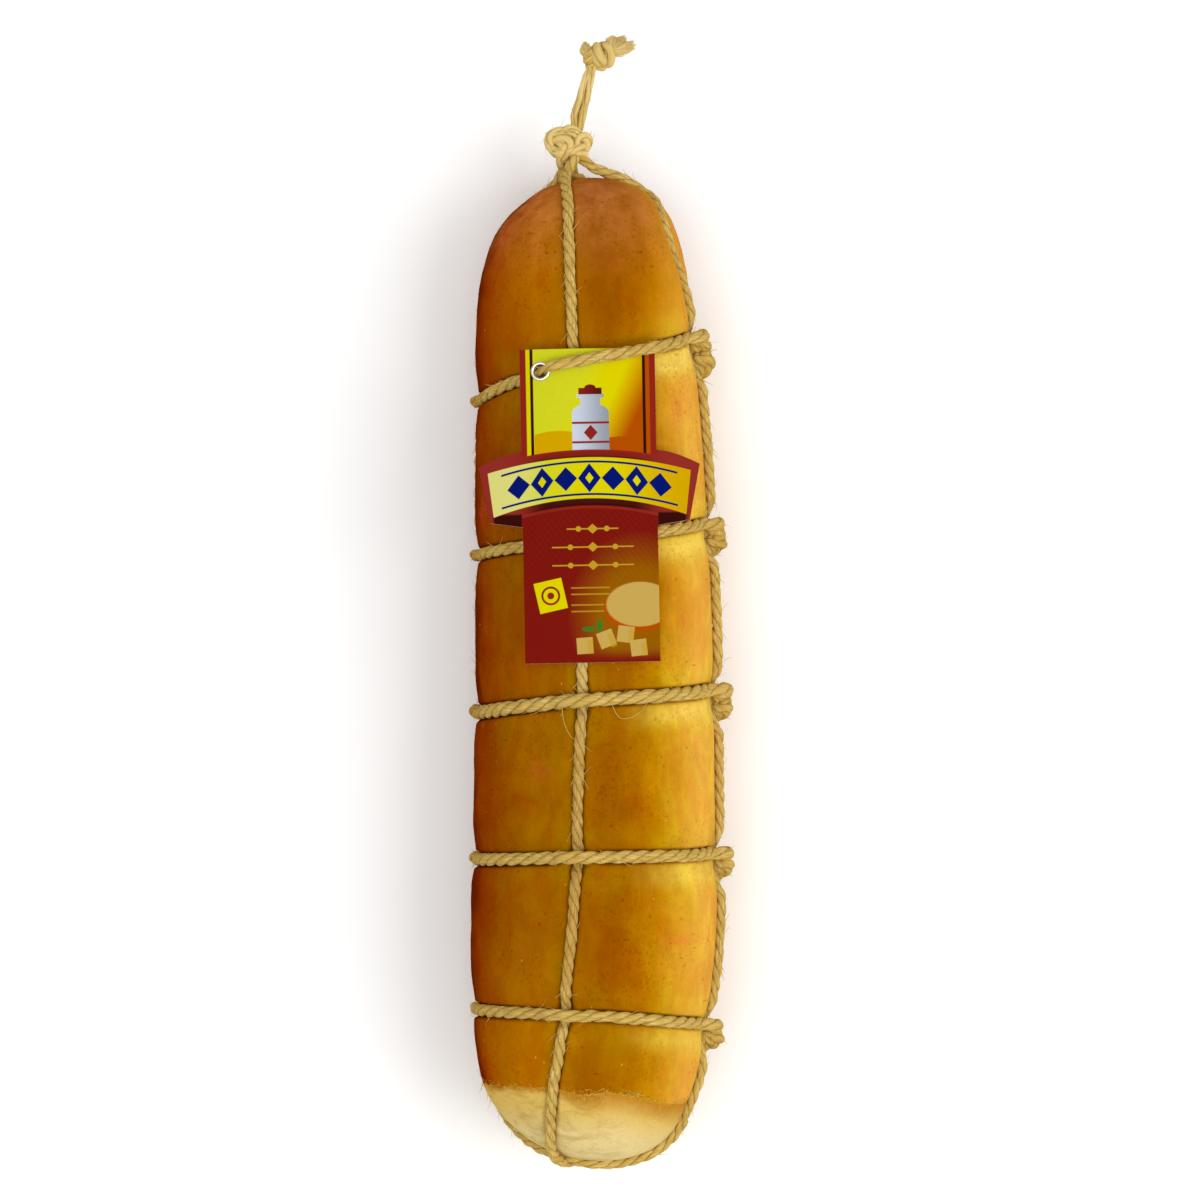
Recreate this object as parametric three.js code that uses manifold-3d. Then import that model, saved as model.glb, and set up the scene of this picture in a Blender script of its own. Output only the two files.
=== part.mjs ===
// A whole smoked provolone of the long, sausage-shaped kind, hung in a net of sisal twine.
// Millimetres. +Y runs from the rounded foot to the hanging loop, +X to the side that
// carries the hitches, and +Z away from the surface that the cheese lies on.
// The origin is the middle of the small flat that hoop 3 presses on that surface.
import * as THREE from "three";
import { mergeVertices } from "three/addons/utils/BufferGeometryUtils.js";
import Module from "manifold-3d";

/* ---------- driving dimensions ---------- */

const BODY_LENGTH = 468.8;
const BODY_RADIUS = 56.6; // halfway along the cheese
const BODY_TAPER = 0.0143; // radius lost for each millimetre towards the top
const BODY_SWELL = 0.00006; // how fast the barrel narrows towards both ends
const BODY_BELLY = { y: -118, reach: 40, rise: 1.2 }; // a slight swelling between hoops 4 and 5
const END_POWER = 9; // how square the rounded ends are
const BODY_CLEARANCE = 1.6; // the belly's height above the surface, held off by the twine
const BODY_SWAY = [
  [-234, 4], [-205, -1.3], [-175, -1.8], [-118, 0.1], [-60, 0], [0, 0], [100, -2], [175, -4.4], [205, -3.8], [234, 0],
];

const TWINE_RADIUS = 2.75; // lengthwise strands
const TWINE_GAP = 0.35; // left between pieces that touch
const CROSSING_GAP = 0.65; // and between a hoop and the strand below it
const TWINE_SIDES = 8;
const GROOVE_ROOM = 0.9; // groove over twine, in the radius
const PINCH_DEPTH = 1.8; // how far a hoop draws the cheese in
const PINCH_REACH = 10;
const VALLEY_REACH = 15; // half-width of the valley that a strand presses into the cheese
const VALLEY = [[-234, 1.6], [-190, 0.8], [140, 0.8], [205, 3.2], [234, 2.2]];

// The side the hoops are tied on, the front, the far side and the underside: heights along Y.
const HOOPS = [
  { tied: 158.9, front: 145.4, far: 128.0, under: 137.0, radius: 3.0, drop: 14 },
  { tied: 69.6, front: 61.8, far: 54.5, under: 57.0, radius: 3.0, drop: 10.6 },
  { tied: -9.7, front: -13.6, far: -20.4, under: -17.0, radius: 3.5, drop: 10.6 },
  { tied: -87.2, front: -87.1, far: -90.0, under: -91.0, radius: 3.2, drop: 9.8 },
  { tied: -168.9, front: -161.6, far: -161.5, under: -167.0, radius: 3.0, drop: 8.6 },
];
const HOOP_SINK = -0.6; // height of a hoop's middle over the cheese
const HOOP_SHOULDER = { turn: 60, share: 0.72 }; // share of its climb to the tied side done by that turn
const HITCH_SWELL = 0.17; // share by which the slack turns of a hitch are fatter
const HITCH_SWELL_REACH = 9;
const RISE_REACH = 10.5; // half-length of the rise where a hoop crosses a strand
const DIP_REACH = 8.0; // and of the dip that it presses the strand into

// Each strand's height over the cheese, its height under a hoop, extra room about it, and its
// angle about the cheese, 0 at the front and 90 at the tied side.
const FRONT_ANGLE = [
  [-205, -21], [-180, -15.4], [-150, -12.2], [-100, -8.7], [-50, -7], [0, -5.5], [60, -6.2], [150, -6.4],
  [186, -8.2], [206, -11], [225, -22],
];
const TIED_ANGLE = [
  [-205, 82], [-190, 84], [-150, 88], [105, 88], [140, 87.5], [155, 86], [166, 84], [175, 81], [187, 77.2],
  [200, 71], [213, 69], [225, 76],
];
const FAR_ANGLE = [[-205, -98], [-180, -110], [-100, -112], [225, -112]];
const STRANDS = {
  front: { sink: 0.8, dip: -2.9, spare: 0, angle: FRONT_ANGLE },
  under: { sink: -1.2, dip: -4.4, spare: 0, angle: [[-205, 180], [225, 180]] },
  tied: { sink: 2.3, dip: -1.0, spare: 0.6, angle: TIED_ANGLE },
  far: { sink: 0.6, dip: -2.9, spare: 0, angle: FAR_ANGLE },
};
const END_SPAN = 203; // strands follow their angle between these heights, and a route past them
const STRAND_SPARE = 6;

// Where the twine crosses the rounded foot: x and z about the axis, front to underside.
const FOOT_FRONT_TO_UNDER = [
  [-20.5, 36], [-20, 27], [-17.5, 17.5], [-12.5, 6], [-7, -8], [-3, -24], [-1, -38],
];
const FOOT_TIED_TO_FAR = [
  [41, 12], [32, 12], [21, 10.5], [10, 11], [-1, 11.5], [-10, 13], [-17.5, 17], [-26, 17.5], [-34, 12],
  [-41, -1],
];
const FOOT_CROSSING = 2; // index of the crossing in the first route
const FOOT_OVER = { height: 0.8, crossing: 4.4, reach: 1.3 }; // the upper twine; its reach is in points
const FOOT_BELOW = { height: 1.2, crossing: -1.6, reach: 11 }; // the lower twine, whose reach is in mm

const CROWN_KNOT = { x: -11.9, y: 249.4, z: 53.5, unit: 2.72, radius: 2.5, turn: 0 };
const END_KNOT = { x: 3.2, y: 293.0, z: 46.5, unit: 2.0, radius: 1.95, turn: 40 };
const KNOT_RINGS = 36;
// The hanging loop, from one knot to the other: its two threads bow up and a little apart.
const LOOP = { radius: 1.65, spacing: 3.7, points: 7, spread: 0.15, bow: 1.8 };
const LOOP_ENDS = { from: [2.6, 8.1], to: [-3.2, -7.6] }; // x and y from the two knots
const FRAYS = {
  long: { root: [11.2, 295.0], tip: [18.8, 297.6], spread: 13.8, thickness: 2.6 },
  short: { root: [-4.4, 294.6], tip: [-6.6, 300.6], spread: 4.4, thickness: 2.4 },
};
const FRAY_SHAPE = { teeth: 5, neck: 0.22, notch: 0.74, reach: 0.86, unevenness: 0.14, beat: 2.1 };

const TAG = { x: -1.8, y: 77.2, turn: 1.1, thickness: 0.7, width: 62.8, height: 146.8 };
const TAG_BAND = { half: 51.6, crown: 25.4, shoulder: 18.6, foot: -7.6, footHalf: 46.4, heel: -9.8 };
const TAG_ARCH = { x: 39.2, y: 25.0 }; // where the arch of the band's upper edge turns down
const TAG_BLANK = { width: 120, height: 160, columns: 12, rows: 8 };
const TAG_CUT = { from: 60, depth: 90 }; // heights that its outline is cut through
const TAG_REST = 0.6; // its height over the front strand under hoop 1
const TAG_RISE = 0.075; // and how it leaves the strand towards its foot
const TAG_CREST = -9; // x of the line where the tag lies on the front strand
const TAG_CURL = [[0, 260], [150, 78]]; // its radius of curl along Y, tighter under hoop 1
const EYELET = { x: -24.9, y: 139.9, outer: 4.6, barrel: 3.4, bore: 3.05, lip: 0.45, roll: 0.4, play: 0.3 };
// Hoop 1 through the eyelet: distance along the hoop, height over the tag, squeeze.
const EYELET_ROUTE = [
  [5.4, 4.1, 0.85], [2.7, 3.0, 0.58], [0.7, 1.0, 0.5], [-0.7, -1.0, 0.5], [-2.2, -3.0, 0.55],
  [-5.0, -5.2, 0.8],
];
const EYELET_LEAN = 0.32; // the hoop's rise along Y for each millimetre along X
// The angles between which hoop 1 is off the rind, and where it lies on the tag.
const TAG_RIDE = { leaves: 46, rejoins: -44, x: [32, 24, 15, 6, -3, -12] };

/* ---------- helpers ---------- */

const wasm = await Module();
wasm.setup();

const radians = THREE.MathUtils.degToRad;
const bump = (distance, reach) => Math.exp(-((distance / reach) ** 4));

// A smooth value between [position, value] pairs in rising order.
function between(stations) {
  const positions = stations.map(([position]) => position);
  const values = stations.map(([, value]) => value);
  const curve = new THREE.CubicInterpolant(positions, values, 1, new Float32Array(1));
  return (p) => curve.evaluate(THREE.MathUtils.clamp(p, positions[0], positions.at(-1)))[0];
}

function toSolid(geometry) {
  const bare = new THREE.BufferGeometry();
  bare.setAttribute("position", geometry.getAttribute("position"));
  if (geometry.index) bare.setIndex(geometry.index);
  const merged = mergeVertices(bare, 1e-3);
  const vertProperties = merged.getAttribute("position").array;
  const triVerts = new Uint32Array(merged.index.array);
  return new wasm.Manifold(new wasm.Mesh({ numProp: 3, vertProperties, triVerts }));
}

function toGeometry(solid) {
  const { vertProperties, triVerts } = solid.getMesh();
  const geometry = new THREE.BufferGeometry();
  geometry.setAttribute("position", new THREE.BufferAttribute(vertProperties, 3));
  geometry.setIndex(new THREE.BufferAttribute(triVerts, 1));
  return geometry;
}

/* ---------- the cheese's own surface ---------- */

const HALF_LENGTH = BODY_LENGTH / 2;
const sway = between(BODY_SWAY);
const valleyDepth = between(VALLEY);
const strandEntries = Object.entries(STRANDS).map(([name, { angle }]) => [name, between(angle)]);
const strandAngle = Object.fromEntries(strandEntries);

const belly = (y) => BODY_BELLY.rise * Math.exp(-(((y - BODY_BELLY.y) / BODY_BELLY.reach) ** 2));
const barrelRadius = (y) => BODY_RADIUS - BODY_TAPER * y - BODY_SWELL * y * y + belly(y);
const axisHeight = (y) => BODY_CLEARANCE + barrelRadius(y);

// Height along Y of the waist that a hoop draws round the cheese.
function waist(hoop, angle) {
  const tied = hoop.tied - hoop.drop / 2;
  const mean = (hoop.front + hoop.under) / 2;
  return mean + ((tied - hoop.far) / 2) * Math.sin(angle) + ((hoop.front - hoop.under) / 2) * Math.cos(angle);
}

// How far the surface lies inside the plain barrel, under hoops and strands.
function relief(angle, y) {
  const pinched = (hoop) => Math.exp(-(((y - waist(hoop, angle)) / PINCH_REACH) ** 2));
  const pinch = HOOPS.reduce((sum, hoop) => sum + pinched(hoop), 0);
  const valley = Object.values(strandAngle).reduce((sum, at) => {
    const turn = angle - radians(at(y));
    const away = Math.atan2(Math.sin(turn), Math.cos(turn)) * barrelRadius(y);
    return sum + Math.exp(-((away / VALLEY_REACH) ** 2));
  }, 0);
  return PINCH_DEPTH * pinch + valleyDepth(y) * valley;
}

// Zero on the surface, negative inside.
function level(p) {
  const across = p.x - sway(p.y);
  const up = p.z - axisHeight(p.y);
  const radius = barrelRadius(p.y) - relief(Math.atan2(across, up), p.y);
  return (across ** 2 + up ** 2) / radius ** 2 + Math.abs(p.y / HALF_LENGTH) ** END_POWER - 1;
}

function slope(p) {
  const step = 0.05;
  const gradient = ["x", "y", "z"].map((axis) => {
    const ahead = p.clone();
    const behind = p.clone();
    ahead[axis] += step;
    behind[axis] -= step;
    return (level(ahead) - level(behind)) / (2 * step);
  });
  return new THREE.Vector3(...gradient);
}

// Moves a point along the surface's normal until it is the given height over the surface.
function settle(point, height) {
  const p = point.clone();
  for (let pass = 0; pass < 4; pass += 1) {
    const normal = slope(p);
    const steepness = normal.length();
    p.addScaledVector(normal.divideScalar(steepness), height - level(p) / steepness);
  }
  return p;
}

function onSide(y, degrees, height) {
  const angle = radians(degrees);
  const radius = barrelRadius(y) * (1 - Math.abs(y / HALF_LENGTH) ** END_POWER) ** 0.5;
  const across = radius * Math.sin(angle);
  const up = radius * Math.cos(angle);
  return settle(new THREE.Vector3(sway(y) + across, y, axisHeight(y) + up), height);
}

function onFoot([x, z], height) {
  const filled = 1 - (x ** 2 + z ** 2) / barrelRadius(-HALF_LENGTH) ** 2;
  const y = -HALF_LENGTH * filled ** (1 / END_POWER);
  return settle(new THREE.Vector3(x, y, axisHeight(y) + z), height);
}

/* ---------- twine ---------- */

// A curve whose points are spread as they were given, so that each one gets its own ring.
class Route extends THREE.CatmullRomCurve3 {
  getPointAt(u, target) {
    return this.getPoint(u, target);
  }

  getTangentAt(u, target) {
    return this.getTangent(u, target);
  }
}

function circle(radius, sides) {
  const angle = (i) => (i * 2 * Math.PI) / sides;
  const corner = (_, i) => new THREE.Vector2(radius * Math.cos(angle(i)), radius * Math.sin(angle(i)));
  return new THREE.Shape(Array.from({ length: sides }, corner));
}

// A round cord with a ring at each point. A point may carry a squeeze, which thins the cord there.
// Where the cord would sink into the rind or the surface it lies on, its side is pressed flat.
function cord(points, radius, sinks = true) {
  const steps = points.length - 1;
  const settings = { steps, bevelEnabled: false, extrudePath: new Route(points) };
  const geometry = new THREE.ExtrudeGeometry(circle(radius, TWINE_SIDES), settings);
  const position = geometry.getAttribute("position");
  const vertex = new THREE.Vector3();
  for (let i = 0; i < position.count; i += 1) {
    vertex.fromBufferAttribute(position, i);
    const nearer = (a, b) => (a.distanceToSquared(vertex) < b.distanceToSquared(vertex) ? a : b);
    const centre = points.reduce(nearer);
    vertex.sub(centre).multiplyScalar(centre.squeeze ?? 1).add(centre);
    const clear = sinks && Math.abs(vertex.y) < END_SPAN ? pressOut(vertex) : vertex;
    position.setXYZ(i, clear.x, clear.y, Math.max(clear.z, 0));
  }
  return geometry;
}

// Moves a vertex that lies in the rind out to the floor of its groove.
function pressOut(vertex) {
  const least = TWINE_GAP - grooveDepth(bearing(vertex), vertex.y);
  const steepness = slope(vertex).length();
  return level(vertex) / steepness < least ? settle(vertex, least) : vertex;
}

const HITCH_RINGS = [10, 4.5]; // distances of a strand's rings from a hitch
const HITCH_ROOM = 16; // and how far from it its next ring is

// Rings of a strand lie on the rind's rows, and about the hitches on the tied side.
function strandHeights(name) {
  const aboutHitch = ({ tied, drop }) => HITCH_RINGS.flatMap((away) => [tied + away, tied - drop - away]);
  const hitches = HOOPS.flatMap(aboutHitch);
  const onRows = bodyRows().filter((row) => !row.fine).map((row) => rowHeight(row, strandAngle[name]));
  const clear = (y) => HOOPS.every(({ tied, drop }) => y > tied + HITCH_ROOM || y < tied - drop - HITCH_ROOM);
  const stops = name === "tied" ? [...onRows.filter(clear), ...hitches] : onRows;
  const inside = stops.filter((y) => Math.abs(y) < END_SPAN - STRAND_SPARE);
  return [END_SPAN, ...inside, -END_SPAN].sort((a, b) => b - a);
}

// Where a row of the rind meets a column.
function rowHeight(row, column) {
  let y = row(0);
  for (let pass = 0; pass < 4; pass += 1) y = row(wrapped(column(y)));
  return y;
}

// A strand dips under each hoop, and under both turns of a hitch together.
function strandSink(name, y) {
  const { sink, dip } = STRANDS[name];
  const pressed = HOOPS.map((hoop, i) => {
    const half = name === "tied" ? hoop.drop / 2 : 0;
    const away = Math.abs(y - strandCrossings[name][i] + half);
    return bump(Math.max(0, away - half), DIP_REACH);
  });
  return THREE.MathUtils.lerp(sink, dip, Math.max(...pressed));
}

const strandPoint = (name, y) => onSide(y, strandAngle[name](y), strandSink(name, y));

// A hoop is measured in degrees from its start behind the tied strand, over the front, far side
// and underside, back to the tied strand, which it crosses a second time before it is tucked in.
const HOOP_LEAD = 9;
const HITCH_HALF = 4.4; // half-length of the flat top over a hitched strand
const HITCH_STEP = 1.7; // distance of its rings from the strand's middle
const HOOP_TUCK = 9;

const hoopHeight = (hoop) => between([
  [-275 - HOOP_TUCK, hoop.tied - hoop.drop + 2],
  [-270, hoop.tied - hoop.drop],
  [-225, (hoop.tied - hoop.drop + hoop.under) / 2],
  [-180, hoop.under],
  [-90, hoop.far],
  [0, hoop.front],
  [HOOP_SHOULDER.turn, THREE.MathUtils.lerp(hoop.front, hoop.tied, HOOP_SHOULDER.share)],
  [90, hoop.tied],
  [90 + HOOP_LEAD, hoop.tied - 1],
]);

// The angle at which a hoop meets a strand on its way round.
function hoopTurn(name, hoop) {
  const heights = { front: hoop.front, under: hoop.under, tied: hoop.tied, far: hoop.far };
  const angle = strandAngle[name](heights[name]);
  return name === "under" ? -angle : angle;
}

function hoopCrossings(hoop) {
  const tied = hoopTurn("tied", hoop);
  const again = strandAngle.tied(hoop.tied - hoop.drop) - 360;
  const over = (name, at) => {
    const { dip, spare } = STRANDS[name];
    const radius = hoop.radius * (name === "tied" ? 1 + HITCH_SWELL : 1);
    return { at, height: dip + TWINE_RADIUS + radius + CROSSING_GAP + spare };
  };
  return [
    over("tied", tied),
    over("front", hoopTurn("front", hoop)),
    over("far", hoopTurn("far", hoop)),
    over("under", hoopTurn("under", hoop)),
    over("tied", again),
  ];
}

// Rings of a hoop lie on the rind's columns, with a few more at its two ends.
function hoopTurns(hoop) {
  const degree = 180 / (Math.PI * BODY_RADIUS);
  const [first] = crossingsOf.get(hoop);
  const last = crossingsOf.get(hoop).at(-1);
  const clear = HITCH_HALF * degree;
  const step = HITCH_STEP * degree;
  const onColumns = bodyColumns().filter((column) => !column.fine).map((column) => {
    const degrees = wrapped(column(hoopRow(hoop, wrapped(column(0)))));
    return degrees > first.at ? degrees - 360 : degrees;
  });
  const inside = onColumns.filter((at) => at < first.at - clear && at > last.at + clear);
  const start = [first.at + HOOP_LEAD, first.at + clear, first.at - step];
  const end = [last.at + step, last.at - step, last.at - HOOP_TUCK];
  return [...start, ...inside, ...end].sort((a, b) => b - a);
}

function hoopSink(hoop, at) {
  const arc = (other) => radians(at - other) * BODY_RADIUS;
  return crossingsOf.get(hoop).reduce((height, crossing) => {
    return THREE.MathUtils.lerp(height, crossing.height, bump(arc(crossing.at), RISE_REACH));
  }, HOOP_SINK);
}

function hoopPoint(hoop, at) {
  const ends = [crossingsOf.get(hoop)[0], crossingsOf.get(hoop).at(-1)];
  const near = Math.max(...ends.map((end) => bump(radians(at - end.at) * BODY_RADIUS, HITCH_SWELL_REACH)));
  const point = onSide(heightOf.get(hoop)(at), at, hoopSink(hoop, at));
  return Object.assign(point, { squeeze: 1 + HITCH_SWELL * near });
}

const hoopPoints = (hoop) => hoopTurns(hoop).map((at) => hoopPoint(hoop, at));

// Worked out once for each hoop and strand.
const heightOf = new Map(HOOPS.map((hoop) => [hoop, hoopHeight(hoop)]));
const crossingsOf = new Map(HOOPS.map((hoop) => [hoop, hoopCrossings(hoop)]));
const strandCrossings = Object.fromEntries(Object.keys(STRANDS).map((name) => {
  return [name, HOOPS.map((hoop) => heightOf.get(hoop)(hoopTurn(name, hoop)))];
}));

/* ---------- the grooves that the twine lies in ---------- */

const bearing = (p) => THREE.MathUtils.radToDeg(Math.atan2(p.x - sway(p.y), p.z - axisHeight(p.y)));

function trench(away, radius, sink) {
  const reach = radius + GROOVE_ROOM;
  return Math.abs(away) < reach ? Math.sqrt(reach ** 2 - away ** 2) - sink : 0;
}

// Depth of the print of the twine in the rind.
function grooveDepth(degrees, y) {
  if (Math.abs(y) > END_SPAN + STRAND_SPARE) return 0;
  const cross = HOOPS.flatMap((hoop) => [degrees, degrees - 360].map((at) => {
    const start = crossingsOf.get(hoop)[0].at + HOOP_LEAD;
    const end = crossingsOf.get(hoop).at(-1).at - HOOP_TUCK;
    if (at > start || at < end) return 0;
    return trench(y - heightOf.get(hoop)(at), hoop.radius, hoopSink(hoop, at));
  }));
  const along = Object.keys(STRANDS).map((name) => {
    const turn = radians(degrees - strandAngle[name](y));
    const away = Math.atan2(Math.sin(turn), Math.cos(turn)) * barrelRadius(y);
    return trench(away, TWINE_RADIUS + STRANDS[name].spare, strandSink(name, y));
  });
  return Math.max(0, ...cross, ...along);
}

/* ---------- the tag ---------- */

const tagCurl = between(TAG_CURL);

// Height of the tag's underside: it hangs on the front strand and rides over hoop 2.
function tagHeight(x, y) {
  const top = axisHeight(HOOPS[0].front) + barrelRadius(HOOPS[0].front);
  const lift = STRANDS.front.sink + TWINE_RADIUS + TWINE_GAP + TAG_REST;
  const rise = TAG_RISE * (HOOPS[0].front - y);
  return top + lift + rise - (x - TAG_CREST) ** 2 / (2 * tagCurl(y));
}

// Hoop 1 comes up through the eyelet and runs over the tag to the tied side.
function threadedPoints(hoop) {
  const over = TAG.thickness + CROSSING_GAP + hoop.radius;
  const height = heightOf.get(hoop);
  const ride = TAG_RIDE.x.map((x) => {
    const y = height(THREE.MathUtils.radToDeg(Math.asin((x - sway(hoop.front)) / BODY_RADIUS)));
    return new THREE.Vector3(x, y, tagHeight(x, y) + over);
  });
  const place = eyeletPlace();
  const threaded = EYELET_ROUTE.map(([along, up, squeeze]) => {
    return Object.assign(new THREE.Vector3(along, up, -EYELET_LEAN * along).applyMatrix4(place), { squeeze });
  });
  const turns = hoopTurns(hoop);
  const before = turns.filter((at) => at > TAG_RIDE.leaves).map((at) => hoopPoint(hoop, at));
  const after = turns.filter((at) => at < TAG_RIDE.rejoins).map((at) => hoopPoint(hoop, at));
  return [...before, ...ride, ...threaded, ...after];
}

function tagOutline() {
  const { half, crown, shoulder, foot, footHalf, heel } = TAG_BAND;
  const side = TAG.width / 2;
  const end = TAG.height / 2;
  const shape = new THREE.Shape();
  shape.moveTo(-side, -end);
  shape.lineTo(side, -end);
  shape.lineTo(side, heel);
  shape.lineTo(footHalf, foot);
  shape.lineTo(half, shoulder);
  shape.quadraticCurveTo(TAG_ARCH.x, TAG_ARCH.y, side, crown);
  shape.lineTo(side, end);
  shape.lineTo(-side, end);
  shape.lineTo(-side, crown);
  shape.quadraticCurveTo(-TAG_ARCH.x, TAG_ARCH.y, -half, shoulder);
  shape.lineTo(-footHalf, foot);
  shape.lineTo(-side, heel);
  return shape;
}

function tagGeometry() {
  const { width, height, columns, rows } = TAG_BLANK;
  const slab = new THREE.BoxGeometry(width, height, TAG.thickness, columns, rows, 1);
  slab.translate(TAG.x, TAG.y, TAG.thickness / 2);
  const position = slab.getAttribute("position");
  for (let i = 0; i < position.count; i += 1) {
    const lift = tagHeight(position.getX(i), position.getY(i));
    position.setZ(i, position.getZ(i) + lift);
  }
  const settings = { depth: TAG_CUT.depth, bevelEnabled: false, curveSegments: 4 };
  const cutter = new THREE.ExtrudeGeometry(tagOutline(), settings);
  cutter.rotateZ(radians(TAG.turn)).translate(TAG.x, TAG.y, TAG_CUT.from);
  const holeRadius = EYELET.barrel + TWINE_GAP;
  const hole = new THREE.CylinderGeometry(holeRadius, holeRadius, 4 * EYELET.outer, 20);
  hole.applyMatrix4(eyeletPlace());
  return toGeometry(toSolid(slab).intersect(toSolid(cutter)).subtract(toSolid(hole)));
}

// Puts a shape turned about Y at the eyelet, square to the tag.
function eyeletPlace() {
  const { x, y } = EYELET;
  const step = 0.5;
  const tilt = (tagHeight(x + step, y) - tagHeight(x - step, y)) / (2 * step);
  const pitch = (tagHeight(x, y + step) - tagHeight(x, y - step)) / (2 * step);
  const normal = new THREE.Vector3(-tilt, -pitch, 1).normalize();
  const turn = new THREE.Quaternion().setFromUnitVectors(new THREE.Vector3(0, 1, 0), normal);
  const middle = new THREE.Vector3(x, y, tagHeight(x, y) + TAG.thickness / 2);
  return new THREE.Matrix4().compose(middle, turn, new THREE.Vector3(1, 1, 1));
}

// A rolled ring with a groove for the tag's edge.
function eyeletGeometry() {
  const { outer, barrel, bore, lip, roll, play } = EYELET;
  const slot = TAG.thickness / 2 + play;
  const rim = slot + lip;
  const half = [
    [bore, rim - roll], [bore + roll, rim], [outer - roll, rim - roll / 4], [outer, slot], [barrel, slot],
  ];
  const lower = half.map(([r, y]) => new THREE.Vector2(r, -y));
  const upper = half.map(([r, y]) => new THREE.Vector2(r, y)).reverse();
  const profile = [...lower, ...upper, lower[0].clone()];
  return new THREE.LatheGeometry(profile, 22).applyMatrix4(eyeletPlace());
}

/* ---------- knots, loop and frayed ends ---------- */

// An overhand knot drawn tight, its two ends closed into each other.
function knotGeometry({ x, y, z, unit, radius, turn }) {
  class Overhand extends THREE.Curve {
    getPoint(t, target = new THREE.Vector3()) {
      const a = t * 2 * Math.PI;
      const across = Math.sin(a) + 2 * Math.sin(2 * a);
      const along = Math.cos(a) - 2 * Math.cos(2 * a);
      return target.set(across * unit, along * unit, -Math.sin(3 * a) * unit);
    }
  }
  const geometry = new THREE.TubeGeometry(new Overhand(), KNOT_RINGS, radius, TWINE_SIDES, true);
  return geometry.rotateZ(radians(turn)).translate(x, y, z);
}

function loopPoints(side) {
  const { spacing, points, spread, bow } = LOOP;
  const { from, to } = LOOP_ENDS;
  const start = new THREE.Vector3(CROWN_KNOT.x + from[0], CROWN_KNOT.y + from[1], CROWN_KNOT.z);
  const end = new THREE.Vector3(END_KNOT.x + to[0], END_KNOT.y + to[1], END_KNOT.z);
  return Array.from({ length: points }, (_, i) => {
    const t = i / (points - 1);
    const swell = Math.sin(Math.PI * t);
    const offset = new THREE.Vector3(side * (spacing / 2 + spread * swell), 0, bow * swell);
    return start.clone().lerp(end, t).add(offset);
  });
}

// A flattened brush of loose fibre, narrow at the knot.
function frayGeometry({ root, tip, spread, thickness }) {
  const { teeth, neck, notch, reach, unevenness, beat } = FRAY_SHAPE;
  const way = new THREE.Vector2(...tip).sub(new THREE.Vector2(...root));
  const outline = new THREE.Shape();
  outline.moveTo(0, -spread * neck);
  for (let i = 0; i < teeth; i += 1) {
    const at = (i / (teeth - 1) - 0.5) * spread;
    outline.lineTo(way.length() * (reach + unevenness * Math.cos(i * beat)), at);
    if (i < teeth - 1) outline.lineTo(way.length() * notch, at + spread / (2 * (teeth - 1)));
  }
  outline.lineTo(0, spread * neck);
  const geometry = new THREE.ExtrudeGeometry(outline, { depth: thickness, bevelEnabled: false });
  geometry.translate(0, 0, -thickness / 2).rotateZ(way.angle());
  return geometry.translate(root[0], root[1], END_KNOT.z);
}

/* ---------- the cheese ---------- */

const END_ROWS = 5;
const END_FILL = 0.8; // share of the radius that the end rows cover
const HOOP_ROWS = [10.5, 4.3, 2.3, 0, -2.3, -4.3, -10.5]; // rows of the rind about a hoop
const STRAND_COLUMNS = [-11, -4.6, -2.3, 0, 2.3, 4.6, 11]; // columns about a strand
const FINE = 3; // rows and columns closer than this only shape a groove's floor
const FREE_COLUMNS = 3; // between two strands
const HITCH_TURN = 6; // half the turn over which the rows step down past the tied strand

const endHeight = (share) => HALF_LENGTH * (1 - (END_FILL * share) ** 2) ** (1 / END_POWER);

// Height of a hoop's middle at an angle from -180 to 180.
function hoopRow(hoop, degrees) {
  const tied = crossingsOf.get(hoop)[0].at;
  const past = THREE.MathUtils.smoothstep(degrees, tied - HITCH_TURN, tied + HITCH_TURN);
  return THREE.MathUtils.lerp(heightOf.get(hoop)(degrees), heightOf.get(hoop)(degrees - 360), past);
}

// Rows from the top to the foot, each a height along Y for an angle.
function bodyRows() {
  const top = Array.from({ length: END_ROWS + 1 }, (_, i) => () => endHeight(i / END_ROWS));
  const foot = Array.from({ length: END_ROWS + 1 }, (_, i) => () => -endHeight(1 - i / END_ROWS));
  const bands = HOOPS.map((hoop) => HOOP_ROWS.map((away) => {
    return Object.assign((angle) => hoopRow(hoop, angle) + away, { fine: Math.abs(away) < FINE });
  }));
  return [top, ...bands, foot].flatMap((rows, i, all) => {
    if (!i) return rows;
    const above = all[i - 1].at(-1);
    const below = rows[0];
    const partWay = (share) => (angle) => THREE.MathUtils.lerp(above(angle), below(angle), share);
    return [partWay(1 / 3), partWay(2 / 3), ...rows];
  });
}

// Columns round the cheese, each an angle for a height, in rising order.
function bodyColumns() {
  const order = ["far", "front", "tied", "under"];
  const middle = (i) => (y) => strandAngle[order[i % 4]](y) + (i > 3 ? 360 : 0);
  const aside = (y, away) => THREE.MathUtils.radToDeg(away / barrelRadius(y));
  return order.flatMap((_, i) => {
    const own = STRAND_COLUMNS.map((away) => {
      return Object.assign((y) => middle(i)(y) + aside(y, away), { fine: Math.abs(away) < FINE });
    });
    const next = (y) => middle(i + 1)(y) + aside(y, STRAND_COLUMNS[0]);
    const free = Array.from({ length: FREE_COLUMNS }, (_, n) => (y) => {
      return THREE.MathUtils.lerp(own.at(-1)(y), next(y), (n + 1) / (FREE_COLUMNS + 1));
    });
    return [...own, ...free];
  });
}

const wrapped = (degrees) => THREE.MathUtils.euclideanModulo(degrees + 180, 360) - 180;

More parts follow.
